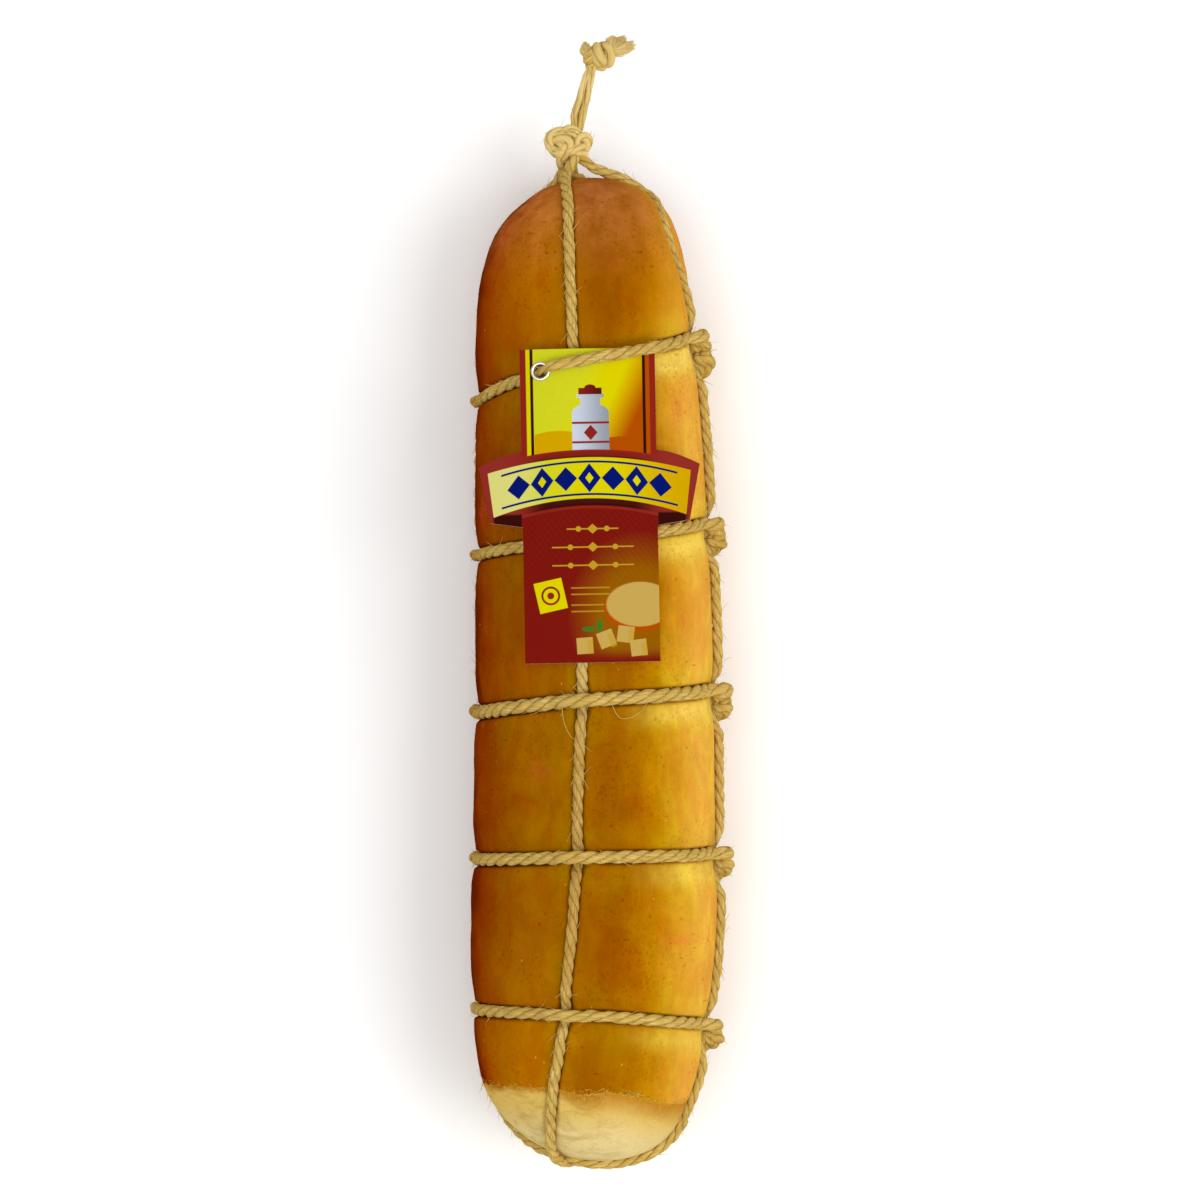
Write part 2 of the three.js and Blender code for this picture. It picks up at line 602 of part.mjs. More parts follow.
function bodyGeometry() {
  const rows = bodyRows();
  const columns = bodyColumns();
  const last = rows.length - 1;
  const geometry = new THREE.SphereGeometry(1, columns.length, last);
  const position = geometry.getAttribute("position");
  const uv = geometry.getAttribute("uv");
  for (let i = 0; i < position.count; i += 1) {
    const row = Math.round((1 - uv.getY(i)) * last);
    const column = THREE.MathUtils.euclideanModulo(Math.round(uv.getX(i) * columns.length), columns.length);
    const p = bodyVertex(rows[row], columns[column], row % last === 0);
    position.setXYZ(i, p.x, p.y, p.z);
  }
  return geometry;
}

// A column's angle depends on the height and a row's height on the angle, so both are met in turn.
function bodyVertex(row, column, pole) {
  let y = row(0);
  let degrees = 0;
  for (let pass = 0; pass < 4; pass += 1) {
    degrees = wrapped(column(y));
    y = row(degrees);
  }
  if (pole) return new THREE.Vector3(sway(y), y, axisHeight(y));
  const p = onSide(y, degrees, 0);
  return settle(p, -grooveDepth(bearing(p), p.y));
}

/* ---------- routes ---------- */

const crownPoint = (x, y, z) => new THREE.Vector3(CROWN_KNOT.x + x, CROWN_KNOT.y + y, CROWN_KNOT.z + z);

function footHeight(route, i) {
  const [crossX, crossZ] = FOOT_FRONT_TO_UNDER[FOOT_CROSSING];
  const [x, z] = route[i];
  const over = route === FOOT_FRONT_TO_UNDER;
  const { height, crossing, reach } = over ? FOOT_OVER : FOOT_BELOW;
  const away = over ? i - FOOT_CROSSING : Math.hypot(x - crossX, z - crossZ);
  return THREE.MathUtils.lerp(height, crossing, bump(away, reach));
}

function lengthwise(down, up, foot, leave, enter) {
  const across = foot.map((place, i) => onFoot(place, footHeight(foot, i)));
  const going = strandHeights(down).map((y) => strandPoint(down, y));
  const coming = strandHeights(up).map((y) => strandPoint(up, y)).reverse();
  return [...leave, ...going, ...across, ...coming, ...enter];
}

// The short stretches between the crown knot and the top of the cheese.
const frontLeave = [
  crownPoint(0.4, -11.2, 3.4), crownPoint(-1.2, -15.2, 9.5), onSide(226, -24, 1.4), onSide(216, -14.6, 0.9),
];
const underEnter = [onSide(219, 180, 0.6), onSide(228, 176, 1.6), crownPoint(2.0, -12.6, -6.0)];
const tiedLeave = [
  crownPoint(5.4, -9.2, 0.4), crownPoint(15.5, -12.6, 0.6), crownPoint(25.6, -14.6, 0.4),
  onSide(224, 80, 1.0), onSide(214, 69.5, 1.6),
];
const farEnter = [onSide(214, -110, 0.8), onSide(225, -106, 1.5), crownPoint(-3.8, -10.8, -2.6)];
const frontToUnder = lengthwise("front", "under", FOOT_FRONT_TO_UNDER, frontLeave, underEnter);
const tiedToFar = lengthwise("tied", "far", FOOT_TIED_TO_FAR, tiedLeave, farEnter);

/* ---------- materials and assembly ---------- */

function finish(color, roughness, metalness = 0) {
  return new THREE.MeshStandardMaterial({ color, roughness, metalness });
}

const RIND = finish("#b9730f", 0.42);
const SISAL = finish("#cdb06a", 0.9);
const CARD = finish("#b8781c", 0.35);
const STEEL = finish("#c9c7c0", 0.3, 0.9);

const group = new THREE.Group();
group.name = "provolone";
group.position.set(-sway(HOOPS[2].under), -HOOPS[2].under, 0);

function place(name, geometry, material) {
  const mesh = new THREE.Mesh(geometry, material);
  mesh.name = name;
  group.add(mesh);
  return mesh;
}

// The stretches of a route that lie past the strands' own span.
function pastEnds(points) {
  const outside = (p) => Math.abs(p.y) > END_SPAN - STRAND_SPARE;
  const runs = [];
  points.forEach((p, i) => {
    if (!outside(p)) return;
    if (i && outside(points[i - 1])) runs.at(-1).push(p);
    else runs.push([p]);
  });
  return runs;
}

// Over the two ends the twine leaves the rind's rows and columns, and its groove is cut.
function cheeseGeometry(ends) {
  const cut = (solid, points) => solid.subtract(toSolid(cord(points, TWINE_RADIUS + TWINE_GAP, false)));
  return toGeometry(ends.reduce(cut, toSolid(bodyGeometry())));
}

place("cheese", cheeseGeometry([frontToUnder, tiedToFar].flatMap(pastEnds)), RIND);
place("twine_front_to_back", cord(frontToUnder, TWINE_RADIUS), SISAL);
place("twine_side_to_side", cord(tiedToFar, TWINE_RADIUS), SISAL);
HOOPS.forEach((hoop, i) => {
  place(`hoop_${i + 1}`, cord(i ? hoopPoints(hoop) : threadedPoints(hoop), hoop.radius), SISAL);
});
place("crown_knot", knotGeometry(CROWN_KNOT), SISAL);
place("loop_twine_left", cord(loopPoints(-1), LOOP.radius), SISAL);
place("loop_twine_right", cord(loopPoints(1), LOOP.radius), SISAL);
place("end_knot", knotGeometry(END_KNOT), SISAL);
place("frayed_end_long", frayGeometry(FRAYS.long), SISAL);
place("frayed_end_short", frayGeometry(FRAYS.short), SISAL);
place("tag", tagGeometry(), CARD);
place("eyelet", eyeletGeometry(), STEEL);

export default group;
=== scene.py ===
import logging
import math
from collections.abc import Callable, Sequence
from dataclasses import dataclass
from enum import Enum

import bpy
import numpy as np
from mathutils import Matrix, Vector, kdtree


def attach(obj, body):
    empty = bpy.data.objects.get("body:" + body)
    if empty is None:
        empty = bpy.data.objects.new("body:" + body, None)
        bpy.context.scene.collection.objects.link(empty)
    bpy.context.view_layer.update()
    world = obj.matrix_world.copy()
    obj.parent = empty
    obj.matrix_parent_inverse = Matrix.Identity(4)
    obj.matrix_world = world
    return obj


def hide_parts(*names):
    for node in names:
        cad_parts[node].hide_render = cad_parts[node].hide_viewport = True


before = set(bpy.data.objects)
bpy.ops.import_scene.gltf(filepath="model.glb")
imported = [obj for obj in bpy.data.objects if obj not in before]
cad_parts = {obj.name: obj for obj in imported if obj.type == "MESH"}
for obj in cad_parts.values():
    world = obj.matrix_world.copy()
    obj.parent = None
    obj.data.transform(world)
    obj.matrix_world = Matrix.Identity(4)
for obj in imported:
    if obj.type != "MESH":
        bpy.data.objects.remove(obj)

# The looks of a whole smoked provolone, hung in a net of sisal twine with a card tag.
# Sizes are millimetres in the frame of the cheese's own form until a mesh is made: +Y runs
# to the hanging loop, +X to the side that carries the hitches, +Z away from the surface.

logging.basicConfig(level=logging.INFO, format="%(name)s: %(message)s")
LOG = logging.getLogger("provolone")

MM = 0.001
LOWEST = 0.05  # the twine keeps this far off the floor
HIGHEST = 123.85  # and lies under the top of the solids
FIBRE_MARKS = 500  # how far apart stray fibres may lie in the fibre noise
Array = np.ndarray
Colour = tuple[float, float, float]
Pair = tuple[float, float]
Point = tuple[float, float, float]
Object = bpy.types.Object
Material = bpy.types.Material
Socket = bpy.types.NodeSocket


class Side(Enum):
    """A side, or the way that a twine's yarns turn as it runs away from the eye."""

    LEFT = -1
    RIGHT = 1


# ---- small tools


class Stations:
    """A smooth value between stations, each a position and its value."""

    def __init__(self, *pairs: tuple[float, float]) -> None:
        """Keeps the stations, with a mirrored neighbour past each end.

        Args:
            pairs: Position and value of each station, in rising order.
        """
        x, v = (np.array(side, float) for side in zip(*pairs))
        self.x = np.concatenate([[2 * x[0] - x[1]], x, [2 * x[-1] - x[-2]]])
        self.v = np.concatenate([[v[1]], v, [v[-2]]])

    def __call__(self, at: Array | float) -> Array:
        """Returns the value at one or many positions, held level past the ends."""
        t = np.clip(np.asarray(at, float), self.x[1], self.x[-2])
        i = np.clip(np.searchsorted(self.x[1:-1], t, side="right"), 1, len(self.x) - 3)
        before, x0, x1, after = (self.x[i + k] for k in (-1, 0, 1, 2))
        v_before, v0, v1, v_after = (self.v[i + k] for k in (-1, 0, 1, 2))
        half = (x1 - x0) / 2
        lead = half / (x0 - before)
        tail = half / (after - x1)
        s = (t - x0) / (x1 - x0)
        s2, s3 = s * s, s ** 3
        return (
            (-lead * s3 + 2 * lead * s2 - lead * s) * v_before
            + ((1 + lead) * s3 + (-1.5 - 2 * lead) * s2 + (-0.5 + lead) * s + 1) * v0
            + ((-1 - tail) * s3 + (1.5 + tail) * s2 + 0.5 * s) * v1
            + (tail * s3 - tail * s2) * v_after
        )


def bump(distance: Array, reach: float) -> Array:
    """Returns 1 at no distance and falls flat-topped to 0 past the reach."""
    return np.exp(-((np.asarray(distance) / reach) ** 4))


def hill(distance: Array, reach: float) -> Array:
    """Returns 1 at no distance and falls off round to 0."""
    return np.exp(-((distance / reach) ** 2))


def ease(value: Array, low: float, high: float) -> Array:
    """Returns a smooth step from 0 at low to 1 at high."""
    t = np.clip((np.asarray(value, float) - low) / (high - low), 0, 1)
    return t * t * (3 - 2 * t)


def blend(a: Array | float, b: Array | float, share: Array | float) -> Array:
    """Returns the value that lies the given share of the way from a to b."""
    return a + (b - a) * share


def wrapped(degrees: Array) -> Array:
    """Returns an angle brought to the turn between -180 and 180."""
    return (np.asarray(degrees, float) + 180) % 360 - 180


def unit(vectors: Array) -> Array:
    """Returns vectors scaled to length 1."""
    return vectors / np.linalg.norm(vectors, axis=-1, keepdims=True)


def ripple(at: Array, seed: int, coarse: float, fine: float, waves: int = 9) -> Array:
    """Adds up sines of seeded lengths and phases.

    Args:
        at: Positions of shape (n, k).
        seed: Picks the directions and phases.
        coarse: The longest wave.
        fine: The shortest wave.
        waves: How many sines are summed.

    Returns:
        One value for each position, mostly between -1 and 1.
    """
    rng = np.random.default_rng(seed)
    at = np.asarray(at, float)
    total = np.zeros(len(at))
    for length in np.geomspace(coarse, fine, waves):
        way = unit(rng.normal(size=at.shape[1]))
        total += np.sin(at @ way * (2 * math.pi / length) + rng.uniform(0, 2 * math.pi))
    return total / math.sqrt(waves) / 1.4


def spline(points: Array, step: float) -> Array:
    """Draws a smooth line through points and spaces it evenly.

    Args:
        points: The points, of shape (n, 3).
        step: Distance between the returned points.

    Returns:
        Points along a centripetal Catmull-Rom curve.
    """
    p = np.vstack([2 * points[0] - points[1], points, 2 * points[-1] - points[-2]])
    knots = np.concatenate([[0], np.cumsum(np.linalg.norm(np.diff(p, axis=0), axis=1) ** 0.5)])
    share = np.linspace(0, 1, 10, endpoint=False)[:, None]
    runs = []
    for i in range(1, len(p) - 2):
        k0, k1, k2, k3 = knots[i - 1:i + 3]
        t = k1 + share * (k2 - k1)
        a1 = (k1 - t) / (k1 - k0) * p[i - 1] + (t - k0) / (k1 - k0) * p[i]
        a2 = (k2 - t) / (k2 - k1) * p[i] + (t - k1) / (k2 - k1) * p[i + 1]
        a3 = (k3 - t) / (k3 - k2) * p[i + 1] + (t - k2) / (k3 - k2) * p[i + 2]
        b1 = (k2 - t) / (k2 - k0) * a1 + (t - k0) / (k2 - k0) * a2
        b2 = (k3 - t) / (k3 - k1) * a2 + (t - k1) / (k3 - k1) * a3
        runs.append((k2 - t) / (k2 - k1) * b1 + (t - k1) / (k2 - k1) * b2)
    return spaced(np.vstack([*runs, points[-1:]]), step)


def run(points: Array) -> Array:
    """Returns how far along a line of points each of them lies."""
    return np.concatenate([[0], np.cumsum(np.linalg.norm(np.diff(points, axis=0), axis=1))])


def spaced(points: Array, step: float) -> Array:
    """Returns points an even step apart along a line of points."""
    along = run(points)
    count = max(2, round(along[-1] / step) + 1)
    at = np.linspace(0, along[-1], count)
    return np.column_stack([np.interp(at, along, points[:, k]) for k in range(points.shape[1])])


# ---- the cheese's form


@dataclass(frozen=True)
class Hoop:
    """Heights of a hoop of twine at four places round the cheese, and its hitch."""

    tied: float
    front: float
    far: float
    under: float
    radius: float
    drop: float
    wraps: int

    def waist(self, angle: Array) -> Array:
        """Returns the height of the waist that the hoop draws, for an angle in radians."""
        tied = self.tied - self.drop / 2
        mean = (self.front + self.under) / 2
        return mean + (tied - self.far) / 2 * np.sin(angle) + (self.front - self.under) / 2 * np.cos(angle)


@dataclass(frozen=True)
class Strand:
    """A lengthwise strand: height over the rind, dip under hoops, angle, half-width of its valley."""

    sink: Stations
    dip: float
    spare: float
    angle: Stations
    reach: float = 15


HOOPS = (
    Hoop(158.9, 145.4, 128.0, 137.0, 3.0, 14, 2),
    Hoop(69.6, 61.8, 54.5, 57.0, 3.0, 10.6, 2),
    Hoop(-9.7, -13.6, -20.4, -17.0, 3.5, 10.6, 2),
    Hoop(-87.2, -87.1, -90.0, -91.0, 3.2, 9.8, 1),
    Hoop(-168.9, -161.6, -161.5, -167.0, 3.0, 8.6, 1),
)
STRANDS = {
    "front": Strand(Stations((-205, 0.6), (225, 0.6)), -2.9, 0, Stations(
        (-205, -21), (-180, -15.4), (-150, -12.2), (-100, -8.7), (-50, -7), (0, -5.5), (60, -6.2),
        (150, -6.4), (186, -8.2), (206, -11), (225, -22))),
    "under": Strand(Stations((-205, -1.2), (225, -1.2)), -4.4, 0, Stations((-205, 180), (225, 180))),
    "tied": Strand(
        Stations((-205, 1.4), (150, 1.6), (175, 1.0), (190, -0.2), (205, -0.9), (225, -0.8)), -1.0, 0.6,
        Stations((-205, 82), (-190, 84), (-150, 88), (105, 88), (140, 87.5), (155, 86), (166, 84), (175, 81),
                 (187, 77.8), (200, 72.5), (213, 70.5), (225, 76)), reach=11),
    "far": Strand(Stations((-205, 0.2), (225, 0.2)), -2.9, 0, Stations(
        (-205, -104), (-180, -110), (-100, -112), (190, -112), (225, -122))),
}


@dataclass(frozen=True)
class Form:
    """The smooth body that the twine draws in, as a level surface.

    `belly` is the middle, reach and rise of a slight bulge between the last two hoops.
    """

    length: float = 468.8
    radius: float = 56.6
    taper: float = 0.0143
    swell: float = 0.00006
    belly: Point = (-118, 40, 1.2)
    squareness: float = 9
    top_squareness: float = 10.5
    clearance: float = 1.6
    pinch: float = 1.8
    pinch_reach: float = 10
    probe: float = 0.05
    sway: Stations = Stations(
        (-234, 4), (-205, -1.3), (-175, -1.8), (-118, 0.1), (-60, 0), (0, 0), (100, -2), (175, -4.4),
        (205, -3.8), (234, 0))
    valley: Stations = Stations((-234, 1.6), (-190, 0.8), (140, 0.8), (205, 3.2), (234, 2.2))

    @property
    def half(self) -> float:
        """Half of the body's length."""
        return self.length / 2

    def barrel(self, y: Array) -> Array:
        """Returns the plain barrel's radius at a height along Y."""
        middle, reach, rise = self.belly
        return self.radius - self.taper * y - self.swell * y * y + rise * hill(y - middle, reach)

    def axis(self, y: Array) -> Array:
        """Returns how far the body's axis lies over the surface."""
        return self.clearance + self.barrel(y)

    def relief(self, angle: Array, y: Array) -> Array:
        """Returns how far the twine draws the body in.

        Args:
            angle: Angle about the axis, in radians, 0 at the front.
            y: Height along Y.

        Returns:
            Depth inside the plain barrel.
        """
        pinch = sum(hill(y - hoop.waist(angle), self.pinch_reach) for hoop in HOOPS)
        valley = 0
        for strand in STRANDS.values():
            turn = angle - np.radians(strand.angle(y))
            away = np.arctan2(np.sin(turn), np.cos(turn)) * self.barrel(y)
            valley = valley + hill(away, strand.reach)
        return self.pinch * pinch + self.valley(y) * valley

    def level(self, p: Array) -> Array:
        """Returns 0 on the surface and less inside it."""
        x, y, z = p[:, 0], p[:, 1], p[:, 2]
        across = x - self.sway(y)
        up = z - self.axis(y)
        radius = self.barrel(y) - self.relief(np.arctan2(across, up), y)
        power = np.where(y > 0, self.top_squareness, self.squareness)
        return (across ** 2 + up ** 2) / radius ** 2 + np.abs(y / self.half) ** power - 1

    def slope(self, p: Array) -> Array:
        """Returns the level's gradient at each point."""
        steps = np.eye(3) * self.probe
        return np.column_stack([(self.level(p + s) - self.level(p - s)) / (2 * self.probe) for s in steps])

    def settle(self, p: Array, height: Array | float) -> Array:
        """Moves points along the surface's normal to a height over it.

        Args:
            p: Points near the surface.
            height: The height wanted for each.

        Returns:
            The moved points.
        """
        for _ in range(4):
            slope = self.slope(p)
            steep = np.linalg.norm(slope, axis=1)
            p = p + slope / steep[:, None] * (height - self.level(p) / steep)[:, None]
        return p

    def on_side(self, y: Array, degrees: Array, height: Array | float) -> Array:
        """Returns points over the side at heights along Y and angles in degrees."""
        given = (np.atleast_1d(np.asarray(v, float)) for v in (y, degrees, height))
        y, degrees, height = np.broadcast_arrays(*given)
        angle = np.radians(degrees)
        radius = self.barrel(y) * np.sqrt(1 - np.abs(y / self.half) ** self.squareness)
        across, up = radius * np.sin(angle), radius * np.cos(angle)
        return self.settle(np.column_stack([self.sway(y) + across, y, self.axis(y) + up]), height)

    def on_foot(self, places: Array, height: Array) -> Array:
        """Returns points over the rounded foot, each place an x and z about the axis."""
        x, z = places[:, 0], places[:, 1]
        filled = 1 - (x ** 2 + z ** 2) / self.barrel(-self.half) ** 2
        y = -self.half * filled ** (1 / self.squareness)
        return self.settle(np.column_stack([x, y, self.axis(y) + z]), height)

    def bearing(self, p: Array) -> Array:
        """Returns the angle of points about the axis, in degrees."""
        return np.degrees(np.arctan2(p[:, 0] - self.sway(p[:, 1]), p[:, 2] - self.axis(p[:, 1])))


FORM = Form()
# Where the form lies in the frame: over the point where hoop 3 crosses its underside.
LIE = np.array([-float(FORM.sway(HOOPS[2].under)), -HOOPS[2].under, 0.0])


def placed(points: Array) -> Array:
    """Returns points of the form's own frame in metres, where they lie."""
    return (np.asarray(points, float) + LIE) * MM


# ---- where the twine runs


@dataclass(frozen=True)
class Net:
    """The routes of the two lengthwise twines and the five hoops.

    `stride` is the millimetres, or degrees on a hoop, between a route's points. A hitch's
    turns pass through the angles `hitch_turns` at the heights `hitch_layers`.
    """

    twine_radius: float = 2.75
    touch: float = 0.2
    hoop_sink: float = -0.6
    shoulder_turn: float = 60
    shoulder_share: float = 0.72
    hitch_swell: float = 0.17
    hitch_reach: float = 9
    rise_reach: float = 10.5
    dip_reach: float = 8.0
    far_sink: Point = (-90, 50, 0.8)
    hair_height: float = 2.2
    stride: float = 2.2
    lead: float = 9
    tail: float = 13
    wrap_starts: tuple[tuple[float, ...], ...] = ((1.4,), (0.92, 1.45))
    wrap_ends: tuple[tuple[float, ...], ...] = ((0.34,), (0.2, 0.68))
    span: float = 197
    step: float = 0.8
    foot_over: tuple[Pair, ...] = (
        (-20.5, 36), (-20, 27), (-17.5, 17.5), (-12.5, 6), (-7, -8), (-3, -24), (-1, -38))
    foot_below: tuple[Pair, ...] = (
        (41, 10), (32, 11), (21, 10.5), (10, 10), (-1, 9.5), (-10, 8.5), (-17.5, 7), (-26, 3), (-34, -3),
        (-41, -9))
    foot_cross: int = 2
    hitch_turns: tuple[float, ...] = (21, 13, 7, 1.5, -3)
    hitch_layers: tuple[tuple[float, ...], ...] = ((-0.4, 3.6, 6.4, 6.5, 4.0), (-0.6, 1.4, 3.0, 3.1, 1.4))
    loose_hairs: tuple[tuple[Pair, ...], ...] = (
        ((-14.9, -14.5), (-13.9, -23.6), (-9.4, -31.7), (-4.9, -30.9), (-3.6, -19.6)),
        ((7.6, -14.2), (12.2, -22.4), (19.9, -21.0), (25.9, -15.0), (28.5, -8.8)))

    def height(self, hoop: Hoop) -> Stations:
        """Returns a hoop's height along Y for its angle from the hitch."""
        again = hoop.tied - hoop.drop
        shoulder = float(blend(hoop.front, hoop.tied, self.shoulder_share))
        return Stations(
            (-284, again + 2), (-270, again), (-225, (again + hoop.under) / 2), (-180, hoop.under),
            (-90, hoop.far), (0, hoop.front), (self.shoulder_turn, shoulder), (90, hoop.tied),
            (99, hoop.tied - 1))

    def meets(self, name: str, hoop: Hoop) -> float:
        """Returns the angle at which a hoop meets a strand."""
        angle = float(STRANDS[name].angle(getattr(hoop, name)))
        return -angle if name == "under" else angle

    def crossings(self, hoop: Hoop) -> list[tuple[float, float]]:
        """Returns the angle of each crossing and the hoop's height over the rind there."""
        found = []
        turns = [(name, self.meets(name, hoop)) for name in ("tied", "front", "far", "under")]
        again = float(STRANDS["tied"].angle(hoop.tied - hoop.drop)) - 360
        for name, at in [*turns, ("tied", again)]:
            strand = STRANDS[name]
            radius = hoop.radius * (1 + self.hitch_swell * (name == "tied"))
            found.append((at, strand.dip + self.twine_radius + radius + self.touch + strand.spare))
        return found

    def hoop_points(self, hoop: Hoop, turns: Array) -> tuple[Array, Array]:
        """Lays a hoop on the rind and over the strands.

        Args:
            hoop: The hoop.
            turns: Angles along it, in degrees.

        Returns:
            Its middle line and its thickness as a share of the usual.
        """
        arc = math.radians(1) * FORM.radius
        crossings = self.crossings(hoop)
        middle, reach, depth = self.far_sink
        sink = self.hoop_sink - depth * bump(turns - middle, reach)
        for at, height in crossings:
            sink = blend(sink, height, bump((turns - at) * arc, self.rise_reach))
        near = [bump((turns - at) * arc, self.hitch_reach) for at, _ in (crossings[0], crossings[-1])]
        points = FORM.on_side(self.height(hoop)(turns), turns, sink)
        return points, 1 + self.hitch_swell * np.maximum(*near)

    def hoop_turns(self, hoop: Hoop) -> Array:
        """Returns the angles from a hoop's start to its tucked end."""
        crossings = self.crossings(hoop)
        return np.arange(crossings[0][0] + self.lead, crossings[-1][0] + self.tail, -self.stride)

    def strand_points(self, name: str) -> Array:
        """Returns a lengthwise strand's middle line, from the top down."""
        strand = STRANDS[name]
        y = np.arange(self.span, -self.span, -self.stride)
        pressed = np.zeros(len(y))
        for hoop in HOOPS:
            spread = hoop.drop / 2 if name == "tied" else 0
            cross = float(self.height(hoop)(self.meets(name, hoop))) - spread
            away = np.maximum(0, np.abs(y - cross) - spread)
            pressed = np.maximum(pressed, bump(away, self.dip_reach))
        return FORM.on_side(y, strand.angle(y), blend(strand.sink(y), strand.dip, pressed))

    def foot_points(self, over: bool) -> Array:
        """Returns the twine's way over the rounded foot, the upper twine's or the lower's."""
        marks = np.array(self.foot_over if over else self.foot_below, float)
        cross = np.array(self.foot_over[self.foot_cross])
        index = np.linspace(0, len(marks) - 1, (len(marks) - 1) * 3 + 1)
        at = np.column_stack([Stations(*enumerate(marks[:, k]))(index) for k in (0, 1)])
        if over:
            height = blend(0.6, 3.0, bump(index - self.foot_cross, 1.3))
        else:
            height = blend(1.0, -1.6, bump(np.linalg.norm(at - cross, axis=1), 11))
        return FORM.on_foot(at, height)

    def front_to_back(self, crown: "Knot") -> Array:
        """Returns the twine that runs down the front and up the underside."""
        leave = crown.at((3.8, -3.8, 1.0), (2.4, -6.8, 2.8), (0.2, -10.8, 5.2), (-1.4, -14.9, 9.6))
        top = FORM.on_side([229, 222, 214, 205], [-36, -20.1, -14, -11], [1.5, 1.2, 0.9, 0.7])
        end = FORM.on_side([206, 219, 228], [180, 180, 176], [-0.6, 0.6, 1.6])
        enter = crown.at((2.0, -12.6, -6.0), (1.2, -6.0, -2.0))
        return spline(np.vstack([leave, top, self.strand_points("front"), self.foot_points(True),
                                 self.strand_points("under")[::-1], end, enter]), self.step)

    def side_to_side(self, crown: "Knot") -> Array:
        """Returns the twine that runs down the tied side and up the far side."""
        leave = crown.at((3.6, -3.2, -1.0), (5.9, -5.6, -0.2), (9.0, -8.5, 0.4), (12.8, -10.7, 0.6),
                         (16.6, -12.3, 0.6), (20.9, -13.8, 0.4), (25.2, -15.2, -0.4), (29.6, -17.8, -2.4))
        top = FORM.on_side([226.5, 222, 214, 206], [95, 81.5, 72, 71.7], [-0.8, -0.8, -0.9, -0.9])
        end = FORM.on_side([205, 214, 221], [-116, -119, -121], [0.0, 0.0, 0.0])
        dome = np.array([[-30.0, 227, 38], [-24.6, 229, 41], [-20.4, 230, 44], [-16.6, 231, 47]])
        over = FORM.settle(dome, [0.0, 0.0, 0.4, 1.6])
        enter = crown.at((-3.0, -11.8, -3.6), (-1.2, -7.6, -2.6))
        return spline(np.vstack([leave, top, self.strand_points("tied"), self.foot_points(False),
                                 self.strand_points("far")[::-1], end, over, enter]), self.step)

    def hoop(self, hoop: Hoop) -> tuple[Array, Array]:
        """Returns a hoop's even line and its thickness along it."""
        return self.even(*self.hoop_points(hoop, self.hoop_turns(hoop)))

    def hitch(self, hoop: Hoop) -> list[Array]:
        """Returns the turns that bring a hoop's end from behind and round the tied strand, in two layers."""
        turns = []
        for start, end in zip(self.wrap_starts[hoop.wraps - 1], self.wrap_ends[hoop.wraps - 1]):
            y = hoop.tied - hoop.drop * np.linspace(start, end, len(self.hitch_turns))
            degrees = STRANDS["tied"].angle(y) + np.array(self.hitch_turns)
            for heights in self.hitch_layers:
                turns.append(spline(FORM.on_side(y, degrees, heights), self.step))
        return turns

    def hairs(self) -> list[Array]:
        """Returns the lines of the few long hairs that stand off the hoops in loops."""
        marks = [np.array(hair) for hair in self.loose_hairs]
        return [spline(FORM.on_side(m[:, 1], m[:, 0], self.hair_height), self.step) for m in marks]

    def even(self, points: Array, share: Array) -> tuple[Array, Array]:
        """Spaces a line and the thickness that goes with it."""
        line = spline(points, self.step)
        along = run(points)
        at = np.linspace(0, along[-1], len(line))
        return line, np.interp(at, along, share)


# ---- node recipes


